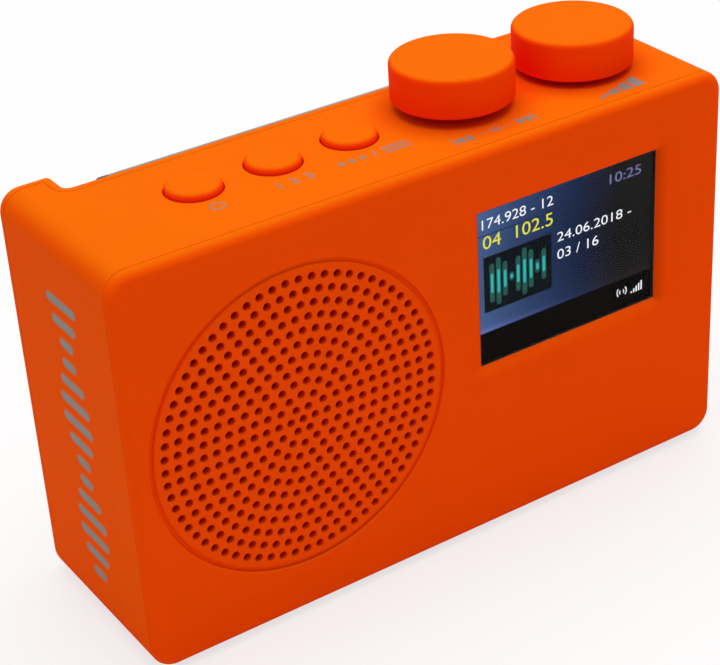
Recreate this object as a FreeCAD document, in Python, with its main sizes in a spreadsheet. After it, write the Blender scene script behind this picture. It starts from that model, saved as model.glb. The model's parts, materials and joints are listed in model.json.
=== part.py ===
import FreeCAD, Part
import math
import os
import Sketcher

# Portable digital radio. Millimetres, +Z up, +X to the radio's right, front towards -Y.
# The origin is on the ground under the middle of the case.

SIZES = {
    # case
    "body_width": 180.0,
    "body_height": 110.5,
    "body_depth": 60.0,
    "corner_radius": 6.2,
    "wall": 2.5,
    "panel_depth": 2.7,
    "front_edge_radius": 2.4,
    "back_rim": 6.3,
    "back_edge_radius": 6.0,
    "seam_chamfer": 0.2,
    "soft_edge": 0.4,
    "lip_depth": 2.0,
    "lip_thickness": 1.2,
    "fit_gap": 0.15,
    "seat_gap": 0.1,
    # feet
    "foot_height": 1.5,
    "foot_radius": 5.0,
    "foot_recess": 0.8,
    "foot_inset_x": 18.0,
    "foot_inset_y": 12.0,
    # loudspeaker and grille
    "speaker_inset": 46.65,
    "speaker_rise": 56.1,
    "grille_radius": 40.8,
    "grille_thickness": 2.6,
    "groove_width": 1.2,
    "groove_depth": 0.9,
    "grille_lip": 1.4,
    "grille_seat": 1.5,
    "hole_pitch": 3.45,
    "hole_rings": 11,
    "hole_radius": 1.09,
    "hole_sides": 6,
    "cloth_thickness": 0.3,
    "gasket_thickness": 1.5,
    "gasket_radius": 38.5,
    "gasket_width": 3.5,
    "flange_side": 75.0,
    "flange_thickness": 1.2,
    "ear_radius": 4.0,
    "ear_hole_radius": 1.8,
    "cone_radius": 34.0,
    "basket_depth": 14.4,
    "basket_wall": 1.0,
    "magnet_radius": 20.0,
    "magnet_depth": 9.0,
    "cap_radius": 9.0,
    # display
    "window_inset": 50.25,
    "window_rise": 71.4,
    "window_width": 57.7,
    "window_height": 44.0,
    "bevel_width": 1.6,
    "bevel_depth": 1.4,
    "bevel_blend": 5.2,
    "window_corner_radius": 0.3,
    "lens_thickness": 1.1,
    "screen_margin": 2.0,
    "screen_thickness": 1.6,
    "screen_frame_thickness": 3.9,
    "board_thickness": 1.6,
    "board_post_x": 34.5,
    "board_post_z": 23.0,
    "post_radius": 3.0,
    "spacer_length": 8.2,
    "shield_length": 34.0,
    "shield_height": 26.0,
    "shield_depth": 5.0,
    # top controls
    "control_y": -2.7,
    "button_inset": 37.65,
    "button_pitch": 21.95,
    "button_radius": 7.1,
    "button_gap": 0.3,
    "button_rise": 1.75,
    "button_edge_radius": 1.5,
    "button_flange": 1.0,
    "button_flange_thickness": 1.2,
    "running_gap": 0.08,
    "switch_side": 6.0,
    "switch_height": 3.5,
    "plunger_radius": 1.7,
    "plunger_rise": 0.9,
    "plunger_depth": 1.2,
    "select_inset": 67.0,
    "select_gap": 2.7,
    "select_height": 10.4,
    "press_travel": 0.8,
    "volume_inset": 28.4,
    "volume_gap": 1.9,
    "volume_height": 10.25,
    "knob_radius": 16.0,
    "knob_edge_radius": 1.5,
    "knob_foot_radius": 0.4,
    "knob_wall": 2.2,
    "knob_roof": 2.6,
    "knob_boss_radius": 5.0,
    "shaft_radius": 3.0,
    "shaft_flat": 1.5,
    "encoder_side": 12.5,
    "encoder_height": 6.5,
    "bushing_radius": 3.5,
    "nut_radius": 5.8,
    "nut_height": 2.0,
    "control_board_front": -14.0,
    "control_board_back": 8.0,
    "control_board_margin": 11.0,
    # antenna
    "trough_left_inset": 13.9,
    "trough_right_inset": 38.0,
    "trough_width": 12.75,
    "trough_depth": 9.5,
    "trough_corner_radius": 2.0,
    "trough_edge_radius": 0.8,
    "hinge_room": 8.0,
    "antenna_wall_gap": 1.35,
    "antenna_drop": 5.5,
    "antenna_radius": 3.0,
    "tip_room": 10.6,
    "antenna_step": 0.5,
    "antenna_tube_wall": 0.45,
    "antenna_root": 3.8,
    "antenna_collar": 9.0,
    "antenna_nest": 2.5,
    "tip_length": 3.0,
    "eye_radius": 2.6,
    "eye_width": 2.6,
    "fork_cheek": 1.0,
    "turret_radius": 3.7,
    "turret_disc": 0.8,
    "turret_stem_radius": 2.0,
    "hinge_pin_radius": 0.9,
    "retainer_radius": 3.6,
    "retainer_height": 1.2,
    # battery bay
    "bay_x": -8.0,
    "bay_rise": 51.0,
    "bay_height": 57.0,
    "bay_depth": 15.8,
    "bay_wall": 1.5,
    "cell_radius": 7.1,
    "cell_pitch": 14.8,
    "cell_length": 50.5,
    "cell_count": 4,
    "door_thickness": 2.0,
    "door_ledge": 2.0,
    "door_gap": 0.2,
    "tongue_width": 4.4,
    "tongue_reach": 1.8,
    "tongue_depth": 1.9,
    "tongue_root": 1.5,
    # case screws
    "screw_inset": 8.5,
    "screw_low": 9.0,
    "screw_high": 15.0,
    "screw_meet": 5.0,
    "well_radius": 4.0,
    "well_bore": 3.1,
    "well_floor": 2.0,
    "screw_head_radius": 2.7,
    "screw_head_height": 2.0,
    "screw_shank_radius": 1.4,
    "screw_length": 12.0,
    # sockets
    "jack_shelf_rise": 14.5,
    "jack_shelf_thickness": 2.0,
    "jack_board_length": 34.0,
    "jack_board_depth": 16.0,
    "jack_board_inset": 28.0,
    "power_jack_inset": 36.0,
    "power_jack_width": 9.0,
    "power_jack_height": 11.0,
    "power_jack_bore": 3.2,
    "power_jack_nose": 4.2,
    "power_pin_radius": 1.0,
    "phone_jack_inset": 20.0,
    "phone_jack_width": 8.0,
    "phone_jack_height": 7.0,
    "phone_jack_bore": 1.8,
    "phone_jack_nose": 3.0,
    "jack_body_depth": 13.0,
}

doc = FreeCAD.newDocument("PortableRadio")
sheet = doc.addObject("Spreadsheet::Sheet", "Sizes")
subparts = []


class Size:
    """A length that carries both its number and its spreadsheet formula."""

    def __init__(self, number, formula):
        self.number = float(number)
        self.formula = formula

    def joined(self, other, sign, number):
        return Size(number, "(%s %s %s)" % (self.formula, sign, other.formula))

    def __add__(self, other):
        other = as_size(other)
        return self.joined(other, "+", self.number + other.number)

    def __sub__(self, other):
        other = as_size(other)
        return self.joined(other, "-", self.number - other.number)

    def __mul__(self, other):
        other = as_size(other)
        return self.joined(other, "*", self.number * other.number)

    def __truediv__(self, other):
        other = as_size(other)
        return self.joined(other, "/", self.number / other.number)

    def __neg__(self):
        return Size(0, "0") - self


def as_size(value):
    """Plain numbers become sizes with a constant formula."""
    if isinstance(value, Size):
        return value
    return Size(value, repr(float(value)))


class Sizes:
    """Every driving dimension by its name, once it has a cell in the sheet."""

    def __init__(self, values):
        for row, (name, value) in enumerate(values.items(), start=1):
            sheet.set("A%d" % row, name.replace("_", " "))
            sheet.set("B%d" % row, str(value))
            sheet.setAlias("B%d" % row, name)
        doc.recompute()
        for name in values:
            setattr(self, name, Size(sheet.get(name), "Sizes." + name))


s = Sizes(SIZES)

# Places that several pieces share.
half_width = s.body_width / 2
front = -s.body_depth / 2
back = s.body_depth / 2
bottom = s.foot_height
top = s.foot_height + s.body_height
panel_back = front + s.panel_depth
cover_front = back - s.back_rim
back_inner = back - s.wall
roof = top - s.wall
speaker_z = bottom + s.speaker_rise
window_z = bottom + s.window_rise
board_top = roof - s.encoder_height
board_bottom = board_top - s.board_thickness
speaker_x = s.speaker_inset - half_width
window_x = half_width - s.window_inset
select_x = half_width - s.select_inset
volume_x = half_width - s.volume_inset
trough_left = s.trough_left_inset - half_width
trough_right = half_width - s.trough_right_inset
trough_front = back - s.trough_width
antenna_x = trough_right - s.hinge_room
antenna_tip_x = trough_left + s.tip_room
antenna_y = trough_front + s.antenna_wall_gap + s.antenna_radius
antenna_z = top - s.antenna_drop
jack_board_x = half_width - s.jack_board_inset
power_jack_x = half_width - s.power_jack_inset
phone_jack_x = half_width - s.phone_jack_inset
trough_floor = top - s.trough_depth
button_places = [s.button_inset - half_width + s.button_pitch * i for i in range(3)]
screw_places = [
    (side * (s.body_width / 2 - s.screw_inset), height)
    for side in (Size(-1, "-1"), Size(1, "1"))
    for height in (bottom + s.screw_low, top - s.screw_high)
]


def bind(item, path, size):
    """Tie a property, placement or constraint to its formula."""
    item.setExpression(path, as_size(size).formula)


def keep(item, label):
    """Make an object one of the radio's sub-parts."""
    item.Label = label
    subparts.append(item)
    return item


def move(item, x=0, y=0, z=0):
    """Tie an object's place to formulas."""
    for axis, size in zip("xyz", (x, y, z)):
        bind(item, "Placement.Base." + axis, size)
    return item


# ---- sketches ------------------------------------------------------------------------------

def new_body(label):
    return keep(doc.addObject("PartDesign::Body", label), label)


def new_sketch(body, plane, level=0):
    """An empty sketch at a level along its plane's normal (XZ looks towards -Y)."""
    sketch = body.newObject("Sketcher::SketchObject", "Sketch")
    support = [item for item in body.Origin.OriginFeatures if item.Role == plane][0]
    sketch.AttachmentSupport = [(support, "")]
    sketch.MapMode = "FlatFace"
    bind(sketch, "AttachmentOffset.Base.z", level)
    return sketch


def constrain(sketch, kind, *arguments):
    """Add a constraint, and tie its value when the last argument is a size."""
    size = arguments[-1]
    if isinstance(size, Size):
        number = sketch.addConstraint(Sketcher.Constraint(kind, *arguments[:-1], size.number))
        bind(sketch, "Constraints[%d]" % number, size)
    else:
        sketch.addConstraint(Sketcher.Constraint(kind, *arguments))


def circle(sketch, x, y, radius):
    x, y, radius = as_size(x), as_size(y), as_size(radius)
    centre = FreeCAD.Vector(x.number, y.number, 0)
    shape = Part.Circle(centre, FreeCAD.Vector(0, 0, 1), radius.number)
    index = sketch.addGeometry(shape, False)
    constrain(sketch, "DistanceX", -1, 1, index, 3, x)
    constrain(sketch, "DistanceY", -1, 1, index, 3, y)
    constrain(sketch, "Radius", index, radius)


def outline(sketch, corners):
    """A closed outline of (x, y) or (x, y, radius) corners.

    An edge whose ends share a coordinate is held level or upright; a rounded corner joins two
    such edges with a tangent arc.
    """
    corners = [tuple(as_size(value) for value in corner) for corner in corners]
    points = [FreeCAD.Vector(corner[0].number, corner[1].number, 0) for corner in corners]
    count = len(corners)
    starts, ends, arcs = [], [], {}
    for i, corner in enumerate(corners):
        inward = (points[i - 1] - points[i]).normalize()
        outward = (points[(i + 1) % count] - points[i]).normalize()
        radius = corner[2].number if len(corner) == 3 else 0.0
        ends.append(points[i] + inward * radius)
        starts.append(points[i] + outward * radius)
        if radius:
            centre = points[i] + (inward + outward) * radius
            middle = centre - (inward + outward).normalize() * radius
            arcs[i] = Part.Arc(ends[i], middle, starts[i])
    edges = []
    for i in range(count):
        segment = Part.LineSegment(starts[i], ends[(i + 1) % count])
        edges.append(sketch.addGeometry(segment, False))
    level = [abs(points[i].y - points[(i + 1) % count].y) < 1e-6 for i in range(count)]
    upright = [abs(points[i].x - points[(i + 1) % count].x) < 1e-6 for i in range(count)]
    for i, corner in enumerate(corners):
        if i in arcs:
            arc = sketch.addGeometry(arcs[i], False)
            turns_left = (points[i] - points[i - 1]).cross(points[(i + 1) % count] - points[i]).z > 0
            first, last = (1, 2) if turns_left else (2, 1)
            constrain(sketch, "Tangent", edges[i - 1], 2, arc, first)
            constrain(sketch, "Tangent", arc, last, edges[i], 1)
            constrain(sketch, "Radius", arc, corner[2])
        else:
            constrain(sketch, "Coincident", edges[i - 1], 2, edges[i], 1)
            if not (upright[i] or upright[i - 1]):
                constrain(sketch, "DistanceX", -1, 1, edges[i], 1, corner[0])
            if not (level[i] or level[i - 1]):
                constrain(sketch, "DistanceY", -1, 1, edges[i], 1, corner[1])
        if level[i]:
            constrain(sketch, "Horizontal", edges[i])
            constrain(sketch, "DistanceY", -1, 1, edges[i], 1, corner[1])
        if upright[i]:
            constrain(sketch, "Vertical", edges[i])
            constrain(sketch, "DistanceX", -1, 1, edges[i], 1, corner[0])


def rectangle(sketch, left, right, low, high, radius=None):
    corners = [(left, low), (right, low), (right, high), (left, high)]
    if radius is not None:
        corners = [corner + (radius,) for corner in corners]
    outline(sketch, corners)


def case_outline(sketch, inset):
    """The rounded front-view outline of the case, moved inwards by an inset."""
    inset = as_size(inset)
    rectangle(sketch, inset - half_width, half_width - inset, bottom + inset, top - inset,
              s.corner_radius - inset)


# ---- features ------------------------------------------------------------------------------

def grow(body, kind, sketch, grows, **settings):
    """Add a feature made from a sketch, and check that it changed the volume the right way."""
    before = body.Shape.Volume if body.Tip else 0.0
    feature = body.newObject("PartDesign::" + kind, kind)
    feature.Profile = sketch
    for name, value in settings.items():
        if isinstance(value, Size):
            bind(feature, name, value)
        else:
            setattr(feature, name, value)
    doc.recompute()
    gain = body.Shape.Volume - before
    if (gain <= 0) if grows else (gain >= 0):
        raise RuntimeError("%s: %s changed nothing" % (body.Label, feature.Name))
    return feature


def pad(body, sketch, length, backwards=False):
    """Pads along the sketch's normal, or against it when backwards."""
    return grow(body, "Pad", sketch, True, Length=as_size(length), Reversed=backwards)


def pocket(body, sketch, length, backwards=False):
    """Cuts against the sketch's normal, or along it when backwards."""
    return grow(body, "Pocket", sketch, False, Length=as_size(length), Reversed=backwards)


def revolve(body, sketch, axis="V_Axis"):
    return grow(body, "Revolution", sketch, True, ReferenceAxis=(sketch, [axis]), Angle=360.0)


def dress_edges(body, kind, setting, size, chosen):
    """Dress the tip's edges that the test picks."""
    base = body.Tip
    names = ["Edge%d" % i for i, edge in enumerate(base.Shape.Edges, start=1) if chosen(edge)]
    if not names:
        raise RuntimeError("%s: no edge to dress" % body.Label)
    feature = body.newObject("PartDesign::" + kind, kind)
    feature.Base = (base, names)
    bind(feature, setting, size)
    doc.recompute()


def round_edges(body, radius, chosen):
    dress_edges(body, "Fillet", "Radius", radius, chosen)


def chamfer_edges(body, size, chosen):
    dress_edges(body, "Chamfer", "Size", size, chosen)


def lies_at(axis, size):
    """A test for edges that lie wholly in the plane where one coordinate has a value."""
    value = as_size(size).number

    def test(edge):
        box = edge.BoundBox
        low = getattr(box, axis + "Min")
        high = getattr(box, axis + "Max")
        return abs(low - value) < 1e-4 and abs(high - value) < 1e-4

    return test


def on_outline(edge):
    """A test for edges whose ends lie on the case's outer faces."""
    for vertex in edge.Vertexes:
        gaps = (
            abs(vertex.X) - half_width.number,
            vertex.Z - top.number,
            vertex.Z - bottom.number,
        )
        if min(abs(gap) for gap in gaps) > 1e-4:
            return False
    return True


def both(first, second):
    return lambda edge: first(edge) and second(edge)


# ---- plain solids --------------------------------------------------------------------------

def box(label, left, right, near, far, low, high):
    item = doc.addObject("Part::Box", label)
    for name, first, last in (("Length", left, right), ("Width", near, far), ("Height", low, high)):
        bind(item, name, as_size(last) - first)
    return move(item, left, near, low)


def cylinder(label, radius, start, end, axis, across=0, up=0):
    """A cylinder along an axis; across and up are its other two coordinates in order."""
    item = doc.addObject("Part::Cylinder", label)
    bind(item, "Radius", radius)
    bind(item, "Height", as_size(end) - start)
    turns = {
        "x": ((0, 1, 0), 90),
        "y": ((1, 0, 0), -90),
        "z": ((0, 0, 1), 0),
    }
    direction, angle = turns[axis]
    turn = FreeCAD.Rotation(FreeCAD.Vector(*direction), angle)
    item.Placement = FreeCAD.Placement(FreeCAD.Vector(), turn)
    places = {
        "x": (start, across, up),
        "y": (across, start, up),
        "z": (across, up, start),
    }
    return move(item, *places[axis])


def cut(label, base, tools):
    """Take tools away from a base."""
    tool = tools[0] if len(tools) == 1 else fuse(label + "_cutters", tools)
    item = doc.addObject("Part::Cut", label)
    item.Base = base
    item.Tool = tool
    return item


def fuse(label, pieces):
    item = doc.addObject("Part::MultiFuse", label)
    item.Shapes = pieces
    return item


def group(label, pieces):
    """Identical loose solids that share one sub-part."""
    item = doc.addObject("Part::Compound", label)
    item.Links = pieces
    return item


def d_shape(sketch, radius, flat):
    """A circle round the origin with one side cut straight at x = flat."""
    height = math.sqrt(radius.number ** 2 - flat.number ** 2)
    low = FreeCAD.Vector(flat.number, -height, 0)
    high = FreeCAD.Vector(flat.number, height, 0)
    far = FreeCAD.Vector(-radius.number, 0, 0)
    arc = sketch.addGeometry(Part.Arc(high, far, low), False)
    line = sketch.addGeometry(Part.LineSegment(low, high), False)
    constrain(sketch, "Coincident", arc, 3, -1, 1)
    constrain(sketch, "Coincident", arc, 1, line, 2)
    constrain(sketch, "Coincident", arc, 2, line, 1)
    constrain(sketch, "Vertical", line)
    constrain(sketch, "Radius", arc, radius)
    constrain(sketch, "DistanceX", -1, 1, line, 1, flat)


# ---- case ----------------------------------------------------------------------------------

speaker_opening = s.grille_radius + s.groove_width
flange_front = front + s.grille_thickness + s.cloth_thickness + s.gasket_thickness
ear_reach = s.flange_side / 2 - s.ear_radius
ear_places = [(x, z) for x in (-ear_reach, ear_reach) for z in (-ear_reach, ear_reach)]
board_front = panel_back + s.screen_thickness + s.screen_frame_thickness
board_post_places = [
    (window_x + x, window_z + z)
    for x in (-s.board_post_x, s.board_post_x)
    for z in (-s.board_post_z, s.board_post_z)
]
pilot_radius = s.screw_shank_radius + s.seat_gap
seam_radius = s.trough_corner_radius + s.wall


def front_panel():
    """Front moulding: rounded plate, stepped speaker opening, bevelled window, lip and posts."""
    body = new_body("front_panel")
    sketch = new_sketch(body, "XZ_Plane", -front)
    case_outline(sketch, 0)
    pad(body, sketch, s.panel_depth, backwards=True)
    round_edges(body, s.front_edge_radius, lies_at("Y", front))
    chamfer_edges(body, s.seam_chamfer, lies_at("Y", panel_back))

    sketch = new_sketch(body, "XZ_Plane", -front)
    circle(sketch, speaker_x, speaker_z, speaker_opening)
    pocket(body, sketch, s.panel_depth)
    round_edges(body, s.soft_edge, both(lies_at("Y", front), is_round))
    sketch = new_sketch(body, "XZ_Plane", -panel_back)
    circle(sketch, speaker_x, speaker_z, speaker_opening + s.grille_seat)
    pocket(body, sketch, s.panel_depth - s.grille_lip, backwards=True)

    rims = []
    for depth, margin in ((as_size(0), s.bevel_width), (s.bevel_depth, as_size(0))):
        rim = new_sketch(body, "XZ_Plane", -(front + depth))
        window_outline(rim, margin)
        rims.append(rim)
    grow(body, "SubtractiveLoft", rims[0], False, Sections=[rims[1]], Ruled=True)
    sketch = new_sketch(body, "XZ_Plane", -front)
    window_outline(sketch, as_size(0))
    pocket(body, sketch, s.panel_depth)
    round_edges(body, s.bevel_blend, both(lies_at("Y", front), by_window))

    sketch = new_sketch(body, "XZ_Plane", -panel_back)
    case_outline(sketch, s.wall + s.fit_gap)
    case_outline(sketch, s.wall + s.fit_gap + s.lip_thickness)
    pad(body, sketch, s.lip_depth, backwards=True)

    posts(body, [(speaker_x + x, speaker_z + z) for x, z in ear_places],
          s.ear_radius, flange_front - panel_back)
    posts(body, board_post_places, s.post_radius, board_front - panel_back)
    posts(body, screw_places, s.post_radius, s.screw_meet - panel_back)
    sketch = new_sketch(body, "XZ_Plane", -s.screw_meet)
    for x, z in screw_places:
        circle(sketch, x, z, pilot_radius)
    pocket(body, sketch, s.screw_length, backwards=True)


def is_round(edge):
    return isinstance(edge.Curve, Part.Circle)


def by_window(edge):
    """Edges no further from the display window than its bevel."""
    middle = edge.CenterOfMass
    across = abs(middle.x - window_x.number) - s.window_width.number / 2
    upwards = abs(middle.z - window_z.number) - s.window_height.number / 2
    return max(across, upwards) < s.bevel_width.number + 0.1


def window_outline(sketch, margin):
    """The display window's outline, widened all round by a margin."""
    across = s.window_width / 2 + margin
    upwards = s.window_height / 2 + margin
    rectangle(sketch, window_x - across, window_x + across, window_z - upwards,
              window_z + upwards, s.window_corner_radius + margin)


def posts(body, places, radius, length):
    """Round posts that stand backwards from the front panel's inner face."""
    sketch = new_sketch(body, "XZ_Plane", -panel_back)
    for x, z in places:
        circle(sketch, x, z, radius)
    pad(body, sketch, length, backwards=True)


def trough_outline(sketch, grow_by, back_edge, radius):
    """The antenna trough seen from above, widened by its wall, with rounded front corners."""
    left = trough_left - grow_by
    right = trough_right + grow_by
    near = trough_front - grow_by
    outline(sketch, [(left, near, radius), (right, near, radius), (right, back_edge), (left, back_edge)])


def case_shell():
    """Middle ring of the case, with the control holes, the trough cut-out and foot recesses."""
    body = new_body("case_shell")
    sketch = new_sketch(body, "XZ_Plane", -panel_back)
    case_outline(sketch, 0)
    case_outline(sketch, s.wall)
    pad(body, sketch, cover_front - panel_back, backwards=True)
    for level in (panel_back, cover_front):
        chamfer_edges(body, s.seam_chamfer, both(lies_at("Y", level), on_outline))

    sketch = new_sketch(body, "XY_Plane", top)
    trough_outline(sketch, s.wall, back, seam_radius)
    pocket(body, sketch, s.trough_depth + s.wall)

    sketch = new_sketch(body, "XY_Plane", top)
    for x in button_places:
        circle(sketch, x, s.control_y, s.button_radius + s.button_gap)
    for x in (select_x, volume_x):
        circle(sketch, x, s.control_y, s.bushing_radius + s.seat_gap)
    pocket(body, sketch, s.trough_depth)

    sketch = new_sketch(body, "XY_Plane", roof)
    middles = [
        (button_places[0] + button_places[1]) / 2,
        (button_places[2] + select_x) / 2,
        (select_x + volume_x) / 2,
    ]
    for x in middles:
        circle(sketch, x, s.control_board_front + s.ear_radius, s.post_radius)
    pad(body, sketch, roof - board_top, backwards=True)

    sketch = new_sketch(body, "XY_Plane", bottom)
    for x, y in foot_places():
        circle(sketch, x, y, s.foot_radius + s.seat_gap)
    pocket(body, sketch, s.foot_recess, backwards=True)


def foot_places():
    across = half_width - s.foot_inset_x
    along = s.body_depth / 2 - s.foot_inset_y
    return [(x, y) for x in (-across, across) for y in (-along, along)]


def rubber_feet():
    feet = [
        cylinder("foot", s.foot_radius, 0, bottom + s.foot_recess - s.seat_gap, "z", x, y)
        for x, y in foot_places()
    ]
    keep(group("rubber_feet", feet), "rubber_feet")


# ---- rear cover and what it holds -----------------------------------------------------------

bay_z = bottom + s.bay_rise
bay_half_width = s.cell_pitch * s.cell_count / 2 + s.fit_gap
bay_half_height = s.bay_height / 2
door_inner = back - s.door_thickness
bay_front = door_inner - s.bay_depth
opening_low = bay_z - bay_half_height - s.door_ledge
opening_high = bay_z + bay_half_height + s.door_ledge
tongue_places = [s.bay_x + s.cell_pitch * side for side in (-1, 1)]
jack_board_low = bottom + s.jack_shelf_rise + s.jack_shelf_thickness
jack_board_high = jack_board_low + s.board_thickness
power_jack_z = jack_board_high + s.power_jack_height / 2
phone_jack_z = jack_board_high + s.phone_jack_height / 2


def bay_outline(sketch, margin):
    """The battery bay seen from the back, widened all round by a margin."""
    across = bay_half_width + margin
    upwards = bay_half_height + margin
    rectangle(sketch, s.bay_x - across, s.bay_x + across, bay_z - upwards, bay_z + upwards)


def rear_cover():
    """Back moulding: rounded back edge, antenna trough, battery bay, screw wells, jack shelf."""
    body = new_body("rear_cover")
    sketch = new_sketch(body, "XZ_Plane", -cover_front)
    case_outline(sketch, 0)
    pad(body, sketch, s.back_rim, backwards=True)
    round_edges(body, s.back_edge_radius, lies_at("Y", back))
    chamfer_edges(body, s.seam_chamfer, lies_at("Y", cover_front))

    wall_left = trough_left - s.wall
    wall_right = trough_right + s.wall
    wall_low = trough_floor - s.wall
    inner = s.corner_radius - s.wall
    left = s.wall - half_width
    right = half_width - s.wall
    low = bottom + s.wall
    sketch = new_sketch(body, "XZ_Plane", -cover_front)
    outline(sketch, [
        (left, low, inner), (right, low, inner), (right, roof, inner), (wall_right, roof),
        (wall_right, wall_low), (wall_left, wall_low), (wall_left, roof), (left, roof, inner),
    ])
    pocket(body, sketch, s.back_rim - s.wall)

    sketch = new_sketch(body, "XY_Plane", wall_low)
    trough_outline(sketch, s.wall - s.fit_gap, back - s.back_edge_radius, seam_radius - s.fit_gap)
    pad(body, sketch, top - wall_low)
    sketch = new_sketch(body, "XY_Plane", top)
    trough_outline(sketch, as_size(0), back + s.wall, s.trough_corner_radius)
    pocket(body, sketch, s.trough_depth)
    round_edges(body, s.trough_edge_radius, trough_rim)
    sketch = new_sketch(body, "XY_Plane", trough_floor)
    circle(sketch, antenna_x, antenna_y, s.turret_stem_radius + s.running_gap)
    pocket(body, sketch, s.wall)

    sketch = new_sketch(body, "XZ_Plane", -back_inner)
    bay_outline(sketch, s.bay_wall)
    pad(body, sketch, back_inner - bay_front + s.bay_wall)
    sketch = new_sketch(body, "XZ_Plane", -back)
    bay_outline(sketch, s.door_ledge)
    pocket(body, sketch, s.door_thickness, backwards=True)
    sketch = new_sketch(body, "XZ_Plane", -door_inner)
    bay_outline(sketch, as_size(0))
    pocket(body, sketch, s.bay_depth, backwards=True)
    sketch = new_sketch(body, "XZ_Plane", -door_inner)
    reach = s.tongue_reach + s.door_gap
    for x in tongue_places:
        across = s.tongue_width / 2 + s.door_gap
        rectangle(sketch, x - across, x + across, opening_low - reach, opening_low + s.door_ledge)
    pocket(body, sketch, s.tongue_depth + s.tongue_reach, backwards=True)

    sketch = new_sketch(body, "XZ_Plane", -back_inner)
    for x, z in screw_places:
        circle(sketch, x, z, s.well_radius)
    pad(body, sketch, back_inner - s.screw_meet)
    sketch = new_sketch(body, "XZ_Plane", -back)
    for x, z in screw_places:
        circle(sketch, x, z, s.well_bore)
    pocket(body, sketch, back - s.screw_meet - s.well_floor, backwards=True)
    sketch = new_sketch(body, "XZ_Plane", -(s.screw_meet + s.well_floor))
    for x, z in screw_places:
        circle(sketch, x, z, pilot_radius)
    pocket(body, sketch, s.well_floor, backwards=True)

    sketch = new_sketch(body, "XZ_Plane", -back_inner)
    half = s.jack_board_length / 2
    shelf_low = jack_board_low - s.jack_shelf_thickness
    rectangle(sketch, jack_board_x - half, jack_board_x + half, shelf_low, jack_board_low)
    pad(body, sketch, s.jack_board_depth)
    sketch = new_sketch(body, "XZ_Plane", -back)
    circle(sketch, power_jack_x, power_jack_z, s.power_jack_nose + s.seat_gap)
    circle(sketch, phone_jack_x, phone_jack_z, s.phone_jack_nose + s.seat_gap)
    pocket(body, sketch, s.wall, backwards=True)


def trough_rim(edge):
    """The trough's edge along its front, round its corners and down its two open ends."""
    middle = edge.CenterOfMass
    left = abs(middle.x - trough_left.number)
    right = abs(middle.x - trough_right.number)
    inside = trough_left.number - 0.1 < middle.x < trough_right.number + 0.1
    on_top = abs(middle.z - top.number) < 1e-4 and middle.y > trough_front.number - 0.01
    past_top = middle.y > (back - s.back_edge_radius).number
    at_end = min(left, right) < 1e-4 and past_top and middle.z > trough_floor.number + 0.01
    return inside and (on_top or at_end)


def battery_door():
    """Flat door with two hooked tongues at its foot and a finger scoop at its head."""
    body = new_body("battery_door")
    low = opening_low + s.door_gap
    sketch = new_sketch(body, "XZ_Plane", -back)
    bay_outline(sketch, s.door_ledge - s.door_gap)
    pad(body, sketch, s.door_thickness)
    sketch = new_sketch(body, "XZ_Plane", -back)
    circle(sketch, s.bay_x, opening_high - s.door_gap, s.cell_radius)
    pocket(body, sketch, s.door_thickness / 2, backwards=True)
    hook_gap = s.door_gap + s.seat_gap
    half = s.tongue_width / 2
    sketch = new_sketch(body, "XZ_Plane", -door_inner)
    for x in tongue_places:
        rectangle(sketch, x - half, x + half, low, low + s.tongue_root)
    pad(body, sketch, hook_gap + s.tongue_depth)
    sketch = new_sketch(body, "XZ_Plane", -(door_inner - hook_gap))
    for x in tongue_places:
        rectangle(sketch, x - half, x + half, opening_low - s.tongue_reach, low + s.tongue_root)
    pad(body, sketch, s.tongue_depth)


def battery_cells():
    """Round cells side by side, every other one upside down."""
    nub = s.seat_gap * 12
    cells = []
    y = bay_front + s.cell_radius + s.door_gap
    for i in range(int(s.cell_count.number)):
        x = cell_x(i)
        low = bay_z - s.cell_length / 2
        high = bay_z + s.cell_length / 2
        if i % 2:
            can = cylinder("can", s.cell_radius, low + nub, high, "z", x, y)
            tip = cylinder("nub", s.cell_radius / 3, low, low + nub, "z", x, y)
        else:
            can = cylinder("can", s.cell_radius, low, high - nub, "z", x, y)
            tip = cylinder("nub", s.cell_radius / 3, high - nub, high, "z", x, y)
        cells.append(fuse("cell", [can, tip]))
    keep(group("battery_cells", cells), "battery_cells")


def cell_x(i):
    middle = s.cell_count / 2 - 0.5
    return s.bay_x + s.cell_pitch * (as_size(i) - middle)


def battery_contacts():
    """A spring plate at each end of each cell, drawn as a plate with a tapered button."""
    plate = s.bay_wall / 3
    y = bay_front + s.cell_radius + s.door_gap
    half = s.cell_radius * 0.6
    contacts = []
    for i in range(int(s.cell_count.number)):
        x = cell_x(i)
        for end in (-1, 1):
            wall_z = bay_z + bay_half_height * end
            face_z = wall_z - plate * end
            tip_z = bay_z + s.cell_length / 2 * end
            if end < 0:
                sheet_metal = box("plate", x - half, x + half, y - half, y + half, wall_z, face_z)
            else:
                sheet_metal = box("plate", x - half, x + half, y - half, y + half, face_z, wall_z)
            button = doc.addObject("Part::Cone", "button")
            bind(button, "Radius1", s.cell_radius / 2)
            bind(button, "Radius2", s.cell_radius / 4)
            bind(button, "Height", (face_z - tip_z) * end)
            if end > 0:
                turn = FreeCAD.Rotation(FreeCAD.Vector(1, 0, 0), 180)
                button.Placement = FreeCAD.Placement(FreeCAD.Vector(), turn)
            move(button, x, y, face_z)
            contacts.append(fuse("contact", [sheet_metal, button]))
    keep(group("battery_contacts", contacts), "battery_contacts")


def case_screws():
    screws = []
    seat = s.screw_meet + s.well_floor
    for x, z in screw_places:
        head = cylinder("head", s.screw_head_radius, seat, seat + s.screw_head_height, "y", x, z)
        shank = cylinder("shank", s.screw_shank_radius, seat - s.screw_length, seat, "y", x, z)
        screws.append(fuse("screw", [head, shank]))
    keep(group("case_screws", screws), "case_screws")


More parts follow.
